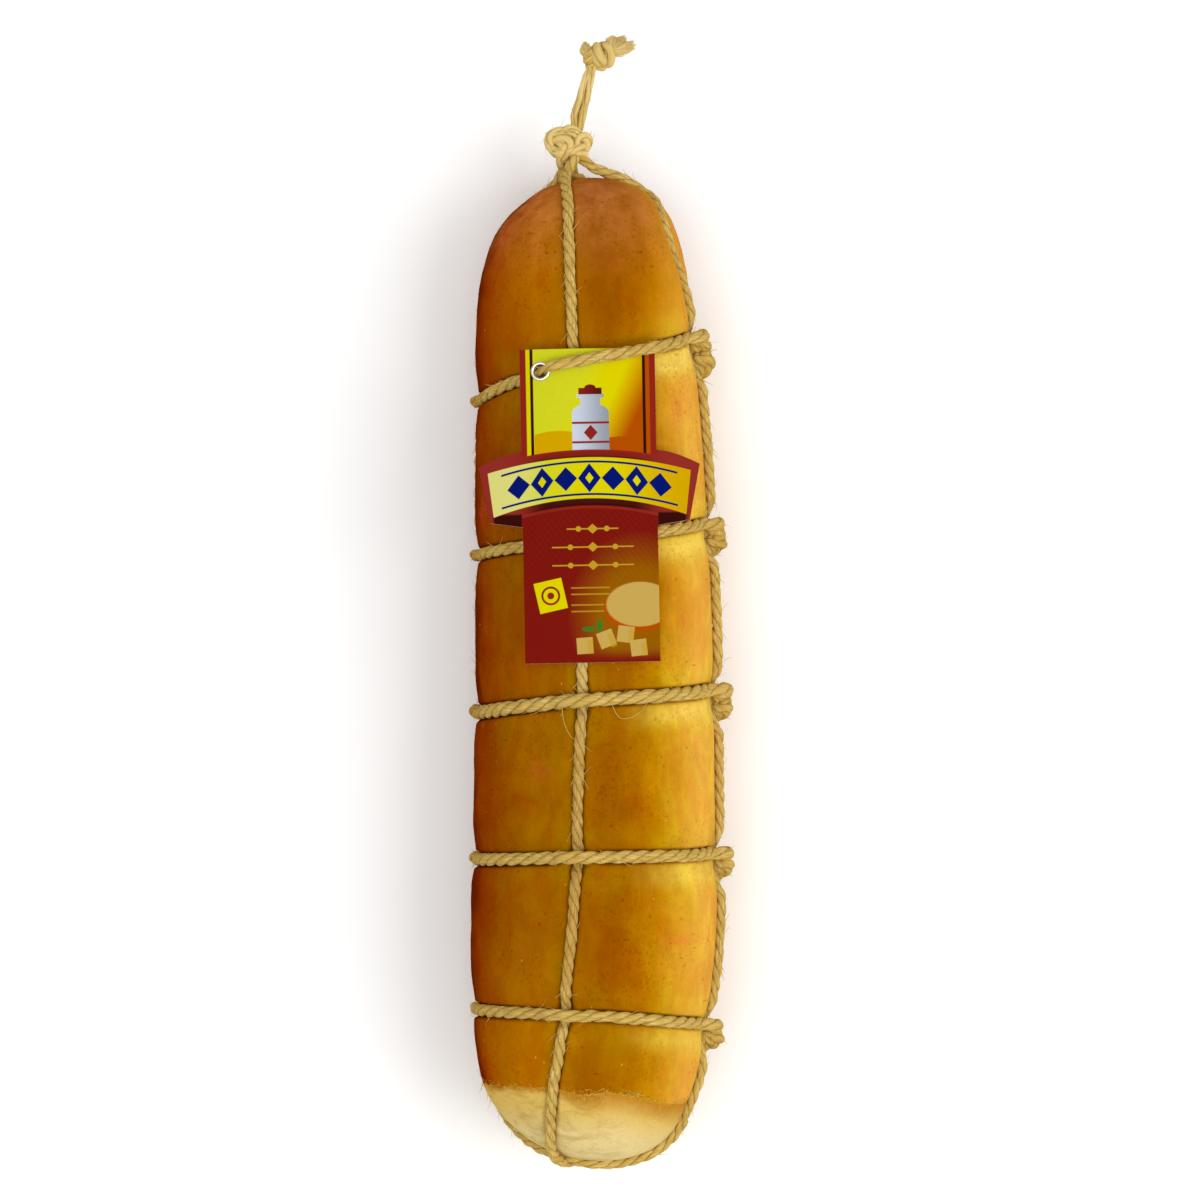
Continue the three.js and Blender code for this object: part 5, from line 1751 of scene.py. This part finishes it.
    def banner(self, face: Face, colour: Socket) -> Socket:
        """Adds the arched banner across both panels, with a row of lozenges."""
        r, u, v = face.r, face.u, face.v
        across = r.product(u, 1 / 48)
        arch = r.product(across, across)
        side = r.math("ABSOLUTE", u)
        top, foot, middle = (r.math("ADD", v, r.product(arch, drop)) for drop in (7.0, 9.5, 8.2))
        outside = r.step(side, 31.6, 31.9)
        band = r.product(r.step(foot, -1.6, -1.3), r.step(top, 26.2, 25.9))
        rim = r.math("MAXIMUM", r.step(foot, 2.4, 0.6), r.step(top, 22.6, 23.6, 0.9, 0.2))
        sheen = r.tint(r.product(rim, r.step(side, 40, 20)), self.burgundy, self.night)
        outline = r.math("MAXIMUM", r.step(foot, 0.2, -0.4), r.step(top, 24.8, 25.4))
        sheen = r.tint(outline, sheen, self.burgundy)
        sheen = r.tint(r.step(side, 20, 42), sheen, self.edge)
        fold = r.product(outside, r.step(v, -3.2, -4.4), r.step(side, 46, 44))
        colour = r.tint(r.math("MAXIMUM", outside, band), colour, sheen)
        colour = r.tint(fold, colour, self.night)
        lean = r.math("ADD", side, r.product(v, -0.12))
        inner = r.product(r.step(top, 22.6, 22.3), r.step(foot, 3.1, 3.4), r.step(lean, 45.6, 45.3))
        paper = r.ramp(r.step(u, -50, 50), (0.0, self.paper), (0.06, self.paper), (0.22, self.lemon),
                       (0.42, self.yellow), (0.68, self.yellow), (1.0, self.amber))
        colour = face.fill(colour, paper, inner)
        row = Face(r, u, middle)
        for i, x in enumerate((-33, -22, -11, 0, 11, 22, 33)):
            colour = row.fill(colour, self.blue, row.lozenge(x, 12.8, 5.3, 6.8 if i % 2 else 5.6))
            if i % 2:
                colour = row.fill(colour, self.yellow, row.lozenge(x, 12.8, 1.9, 2.6))
        for y in (20.4, 5.2):
            near = r.math("ABSOLUTE", r.math("SUBTRACT", middle, y))
            colour = row.fill(colour, self.blue, r.product(r.step(near, 0.6, 0.4), r.step(side, 41.2, 40.8)))
        return colour


@dataclass(frozen=True)
class Tag:
    """The curled card tag with its eyelet hole.

    `rest` is its height over the cheese at hoop 1, and `curl` its radius by height.
    """

    x: float = -1.8
    y: float = 77.2
    turn: float = 1.1
    thickness: float = 0.7
    width: float = 62.8
    height: float = 146.8
    half: float = 51.6
    crown: float = 25.4
    shoulder: float = 18.6
    foot: float = -7.6
    foot_half: float = 46.4
    heel: float = -9.8
    arch: Pair = (39.2, 25.0)
    crest: float = -9
    rise: float = 0.075
    rest: float = 4.5
    curl: Stations = Stations((0, 260), (150, 78))
    hole: Point = (-24.9, 139.9, 3.5)
    cuts: Pair = (2.0, 4.0)

    def lift(self, x: Array, y: Array) -> Array:
        """Returns the height of the card's underside."""
        front = HOOPS[0].front
        top = FORM.axis(front) + FORM.barrel(front)
        return top + self.rest + self.rise * (front - y) - (x - self.crest) ** 2 / (2 * self.curl(y))

    def corner_points(self) -> Array:
        """Returns the card's outline about its own middle, anticlockwise."""
        side, end = self.width / 2, self.height / 2
        t = np.linspace(0, 1, 13)[:, None]
        arch = ((1 - t) ** 2 * np.array([self.half, self.shoulder]) + 2 * t * (1 - t) * np.array(self.arch)
                + t ** 2 * np.array([side, self.crown]))
        right = np.vstack([[side, -end], [side, self.heel], [self.foot_half, self.foot], arch, [side, end]])
        return np.vstack([right, right[::-1] * [-1, 1]])

    def build(self, materials: Sequence[Material]) -> Object:
        """Makes the card.

        Args:
            materials: The printed face's finish and the bare board's.

        Returns:
            The object.
        """
        outline = self.corner_points()
        turn = math.radians(self.turn)
        spin = np.array([[math.cos(turn), -math.sin(turn)], [math.sin(turn), math.cos(turn)]])
        outline = outline @ spin.T + [self.x, self.y]
        ring = np.linspace(0, 2 * math.pi, 41)[:-1]
        hole = np.array(self.hole[:2]) + self.hole[2] * np.column_stack([np.cos(ring), np.sin(ring)])
        shape = bpy.data.curves.new("tag_outline", "CURVE")
        shape.dimensions = "2D"
        shape.fill_mode = "BOTH"
        for loop in (outline, hole):
            edge = shape.splines.new("POLY")
            edge.points.add(len(loop) - 1)
            flat = np.column_stack([loop, np.zeros(len(loop)), np.ones(len(loop))])
            edge.points.foreach_set("co", flat.ravel())
            edge.use_cyclic_u = True
        select(linked("tag_card", shape))
        bpy.ops.object.convert(target="MESH")
        card = bpy.context.object
        bpy.ops.object.mode_set(mode="EDIT")
        low, high = outline.min(0), outline.max(0)
        for axis, step in enumerate(self.cuts):
            for at in np.arange(low[axis] + step / 2, high[axis], step):
                bpy.ops.mesh.select_all(action="SELECT")
                co, no = [0.0, 0, 0], [0.0, 0, 0]
                co[axis], no[axis] = at, 1
                bpy.ops.mesh.bisect(plane_co=co, plane_no=no)
        bpy.ops.object.mode_set(mode="OBJECT")
        self.curl_and_map(card, spin)
        card.data.materials.clear()
        for material in materials:
            card.data.materials.append(material)
        thick = card.modifiers.new("board", "SOLIDIFY")
        thick.thickness = self.thickness * MM
        thick.offset = 1
        thick.material_offset = 1
        thick.material_offset_rim = 1
        bpy.ops.object.modifier_apply(modifier=thick.name)
        bpy.ops.object.shade_smooth_by_angle(angle=math.radians(40))
        return card

    def curl_and_map(self, card: Object, spin: Array) -> None:
        """Curls the flat card over the cheese and lays out its print in millimetres."""
        mesh = card.data
        flat = np.zeros(len(mesh.vertices) * 3)
        mesh.vertices.foreach_get("co", flat)
        flat = flat.reshape(-1, 3)
        own = (flat[:, :2] - [self.x, self.y]) @ spin
        flat[:, 2] = self.lift(flat[:, 0], flat[:, 1])
        mesh.vertices.foreach_set("co", placed(flat).ravel())
        uv = mesh.uv_layers.new(name="print")
        corner = np.zeros(len(mesh.loops), int)
        mesh.loops.foreach_get("vertex_index", corner)
        uv.data.foreach_set("uv", (own[corner] / PRINT_SPAN + 0.5).ravel())
        normals = np.zeros(len(mesh.polygons) * 3)
        mesh.polygons.foreach_get("normal", normals)
        if normals.reshape(-1, 3)[:, 2].sum() < 0:
            mesh.flip_normals()
        mesh.update()


def select(made: Object) -> None:
    """Selects an object alone and makes it active."""
    bpy.ops.object.select_all(action="DESELECT")
    made.select_set(True)
    bpy.context.view_layer.objects.active = made


@dataclass(frozen=True)
class BareBoard:
    """The card's unprinted back and cut edge."""

    board: Colour = srgb(222, 214, 196)

    def material(self) -> Material:
        """Returns the board's material."""
        r = Recipe("bare_board")
        fleck = r.noise(r.place((1, 0.3, 1)), 1.2, 3, 0.6)
        dark = tuple(c * 0.7 for c in self.board)
        colour = r.tint(r.product(r.step(fleck, 0.4, 0.8), 0.3), self.board, dark)
        return r.finish(colour, 0.75, r.relief((fleck, 0.03)))


@dataclass(frozen=True)
class BrightMetal:
    """The eyelet's plated metal."""

    tone: Colour = srgb(222, 218, 206)

    def material(self) -> Material:
        """Returns the metal's material."""
        r = Recipe("bright_metal")
        brush = r.noise(r.place(), 1.6, 3, 0.6)
        colour = r.tint(r.product(brush, 0.4), self.tone, tuple(c * 0.6 for c in self.tone))
        return r.finish(colour, r.step(brush, 0.3, 0.7, 0.25, 0.42), r.relief((brush, 0.02)), Metallic=1.0)


@dataclass(frozen=True)
class Eyelet:
    """The rolled ring in the tag's hole."""

    outer: float = 4.6
    barrel: float = 3.4
    bore: float = 3.05
    lip: float = 0.45
    play: float = 0.3
    tag: Tag = Tag()

    def profile(self) -> list[tuple[float, float]]:
        """Returns the section of the ring, as radius and height."""
        slot = self.tag.thickness / 2 + self.play
        middle, wide = (self.bore + self.outer) / 2, (self.outer - self.bore) / 2
        arc = np.linspace(math.pi, 0, 9)
        top = [(middle + wide * math.cos(a), slot + self.lip * math.sin(a)) for a in arc]
        return [*top, (self.barrel, slot), (self.barrel, -slot), *[(r, -z) for r, z in top[::-1]]]

    def place(self) -> Matrix:
        """Returns where the ring sits, square to the card."""
        x, y, _ = self.tag.hole
        tilt = float(self.tag.lift(x + 0.5, y) - self.tag.lift(x - 0.5, y))
        pitch = float(self.tag.lift(x, y + 0.5) - self.tag.lift(x, y - 0.5))
        normal = Vector((-tilt, -pitch, 1)).normalized()
        turn = Vector((0, 0, 1)).rotation_difference(normal).to_matrix().to_4x4()
        middle = placed(np.array([x, y, float(self.tag.lift(x, y)) + self.tag.thickness / 2]))
        return Matrix.Translation(Vector(middle)) @ turn

    def build(self, material: Material) -> Object:
        """Spins the ring from its section and puts it in the card."""
        section = [(r * MM, 0.0, z * MM) for r, z in self.profile()]
        mesh = bpy.data.meshes.new("eyelet_ring")
        mesh.from_pydata(section, [(i, (i + 1) % len(section)) for i in range(len(section))], [])
        ring = linked("eyelet_ring", mesh)
        select(ring)
        bpy.ops.object.mode_set(mode="EDIT")
        bpy.ops.mesh.select_all(action="SELECT")
        bpy.ops.mesh.spin(steps=48, angle=2 * math.pi, center=(0, 0, 0), axis=(0, 0, 1))
        bpy.ops.mesh.select_all(action="SELECT")
        bpy.ops.mesh.remove_doubles(threshold=1e-6)
        bpy.ops.mesh.normals_make_consistent(inside=False)
        bpy.ops.object.mode_set(mode="OBJECT")
        bpy.ops.object.shade_smooth_by_angle(angle=math.radians(50))
        ring.data.transform(self.place())
        ring.data.materials.append(material)
        return ring


@dataclass(frozen=True)
class Threaded:
    """Hoop 1, which comes up through the eyelet and runs over the card.

    `ride` is where it passes over the card, and each of `through` is a place along it, a
    height and a share of its thickness, from the eyelet's middle.
    """

    net: Net = Net()
    eyelet: Eyelet = Eyelet()
    leaves: float = 46
    rejoins: float = -44
    ride: tuple[float, ...] = (32, 24, 15, 6, -3, -12)
    through: tuple[Point, ...] = (
        (5.4, 4.1, 0.85), (2.7, 3.0, 0.62), (0.7, 1.0, 0.58), (-0.7, -1.0, 0.58), (-2.2, -3.0, 0.6),
        (-5.0, -5.2, 0.85))
    lean: float = 0.32
    over_card: float = 0.2

    def route(self) -> tuple[Array, Array]:
        """Returns the hoop's even line and its thickness along it."""
        hoop, tag = HOOPS[0], self.eyelet.tag
        turns = self.net.hoop_turns(hoop)
        before, before_share = self.net.hoop_points(hoop, turns[turns > self.leaves])
        after, after_share = self.net.hoop_points(hoop, turns[turns < self.rejoins])
        x = np.array(self.ride, float)
        y = self.net.height(hoop)(np.degrees(np.arcsin((x - FORM.sway(hoop.front)) / FORM.radius)))
        over = np.column_stack([x, y, tag.lift(x, y) + tag.thickness + hoop.radius + self.over_card])
        place = np.array(self.eyelet.place())
        steps = np.array([(along, self.lean * along, up) for along, up, _ in self.through])
        inside = ((steps * MM) @ place[:3, :3].T + place[:3, 3]) / MM - LIE
        points = np.vstack([before, over, inside, after])
        share = np.concatenate([before_share, np.ones(len(over)), [s for *_, s in self.through], after_share])
        return self.net.even(points, share)


# ---- assembly


@dataclass(frozen=True)
class Weathering:
    """How stained, shaded and pale the net's twines are; a Point is a middle and a reach in Y, and a share.
    """

    stain: float = 0.06
    bleach: float = 0.12
    far_across: Pair = (-58, -47)
    # smoke stain and painted shade on the twines' far side
    far_stain_and_shade: Point = (40, 190, 0.7)
    # painted shade on the front twine about Y -85, in the stain's colour
    front_shade: Point = (-85, 75, 0.4)
    front_bleach: Point = (30, 60, 0.25)

    def along(self, name: str, line: Array) -> tuple[Array, Array]:
        """Returns the stain, with painted shade on the far side and the front twine, and the paleness at each
        point.
        """
        middle, reach, share = self.far_stain_and_shade
        far = share * (1 - ease(line[:, 0] + LIE[0], *self.far_across))
        stain = far * bump(line[:, 1] - middle, reach) + self.stain
        bleach = np.full(len(line), self.bleach)
        if name == "twine_front_to_back":
            for values, (middle, reach, share) in ((stain, self.front_shade), (bleach, self.front_bleach)):
                values += share * bump(line[:, 1] - middle, reach)
        return stain, bleach


@dataclass
class Provolone:
    """The whole piece: cheese, net, knots, loop and tag."""

    net: Net = Net()
    crown: Knot = CROWN_KNOT
    knot: Knot = END_KNOT
    loop: HangingLoop = HangingLoop()
    fuzz: Fuzz = Fuzz()
    weathering: Weathering = Weathering()
    frays: tuple[Fray, ...] = (LONG_FRAY, SHORT_FRAY)
    hoop_pitch: float = 25
    strand_pitch: float = 21
    slim: float = 0.96
    wrap: Twine = Twine(3.5, pitch=34)
    behind: Twine = Twine(1.3, pitch=40)
    fine_step: float = 0.5
    net_seed: int = 20
    wrap_seed: int = 80
    loop_seed: int = 70

    def __post_init__(self) -> None:
        """Makes the finishes and works out every twine's line."""
        self.sisal = Sisal().material()
        self.lines: dict[str, tuple[Array, Array, float]] = {}
        for name, line in (("twine_front_to_back", self.net.front_to_back(self.crown)),
                           ("twine_side_to_side", self.net.side_to_side(self.crown))):
            self.lines[name] = (line, np.ones(len(line)), self.net.twine_radius)
        for i, hoop in enumerate(HOOPS):
            line, share = self.net.hoop(hoop) if i else Threaded(self.net).route()
            self.lines[f"hoop_{i + 1}"] = (line, share, hoop.radius)

    def keep(self, made: Object, slot: str, *nodes: str) -> None:
        """Ties a piece to the frame and reports it.

        Args:
            made: The piece.
            slot: Not used.
            nodes: The solids it stands for.
        """
        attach(made, "root")
        if nodes:
            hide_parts(*nodes)
        LOG.info("%s: %d faces", made.name, len(made.data.polygons))

    def hang(self) -> None:
        """Makes the two twines of the hanging loop, the knot above them and its frayed ends."""
        end = self.knot.build(self.fuzz, self.sisal)
        self.keep(end, "twine", self.knot.name)
        frays = []
        for fray in self.frays:
            frays.append(fray.brush(self.knot, self.sisal))
            self.keep(frays[-1], "twine", fray.name)
        batch = Batch()
        # painted shade: the yarn that lies behind the two twines is stained dark and never pale
        self.behind.lay(batch, self.loop.middle(), self.loop_seed + 5, stain=0.9, bleach=0.0)
        for side in Side:
            even = spaced(self.loop.line(side)[0], self.fine_step)
            self.fuzz.grow(batch, even, 1.5, self.loop_seed + side.value, bleach=0.5)
        behind = batch.build("loop_yarn_behind", self.sisal)
        self.keep(behind, "twine")
        for side in Side:
            self.loop_twine(side)

    def loop_twine(self, side: Side) -> None:
        """Args:
            side: Which of the two.
        """
        batch = Batch()
        name = f"loop_twine_{side.name.lower()}"
        line, share = self.loop.line(side)
        even = spaced(line, self.fine_step)
        share = np.interp(even[:, 1], line[:, 1], share)
        self.loop.twine.lay(batch, even, self.loop_seed + side.value, share, closed_ends=0, stain=0.0,
                            bleach=ease(even[:, 1], 255, 280) * 0.5 + 0.1)
        piece = batch.build(f"{name}_yarns", self.sisal)
        self.keep(piece, "twine", name)
        path = placed(line)
        length = float(run(path)[-1])
        LOG.info("%s is %.1f mm long", name, length / MM)

    def tie(self) -> None:
        """Makes the crown knot, the two lengthwise twines and the hoops."""
        self.keep(self.crown.build(self.fuzz, self.sisal), "twine", self.crown.name)
        for i, (name, (line, share, radius)) in enumerate(self.lines.items()):
            batch = Batch()
            hoop = HOOPS[int(name[-1]) - 1] if name.startswith("hoop") else None
            # the stain carries painted shade on the far side and on the front twine
            stain, bleach = self.weathering.along(name, line)
            twine = Twine(radius * self.slim, pitch=self.hoop_pitch if hoop else self.strand_pitch)
            twine.lay(batch, line, self.net_seed + i, share, stain=stain, bleach=bleach)
            grown = self.fuzz.grow(batch, line, radius, self.net_seed + i)
            for k, wrap in enumerate(self.net.hitch(hoop) if hoop else []):
                seed = self.wrap_seed + 2 * i + k
                self.wrap.lay(batch, wrap, seed, stain=0.06, bleach=0.05)
                grown += self.fuzz.grow(batch, wrap, 2.8, seed)
            for hair in self.net.hairs() if name == "hoop_3" else []:
                fibre_tube(batch, hair, 0.16, 0.0, bleach=0.3)
            self.keep(batch.build(f"{name}_yarns", self.sisal), "twine", name)
            LOG.info("%s: %d stray fibres", name, grown)

    def dress(self) -> None:
        """Makes the cheese, the tag and the eyelet."""
        grooves = {name: (line, radius) for name, (line, _, radius) in self.lines.items()}
        self.keep(Cheese(net=self.net).build(grooves, SmokedRind().material()), "rind", "cheese")
        self.keep(Tag().build([PrintedCard().material(), BareBoard().material()]), "card", "tag")
        self.keep(Eyelet().build(BrightMetal().material()), "eyelet", "eyelet")


def main() -> None:
    """Builds the studio and the cheese."""
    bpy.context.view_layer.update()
    studio = Studio()
    studio.take_camera()
    whole = Provolone()
    whole.hang()
    whole.tie()
    whole.dress()
    studio.light()
    studio.lay_floor()


if __name__ == "__main__":
    main()
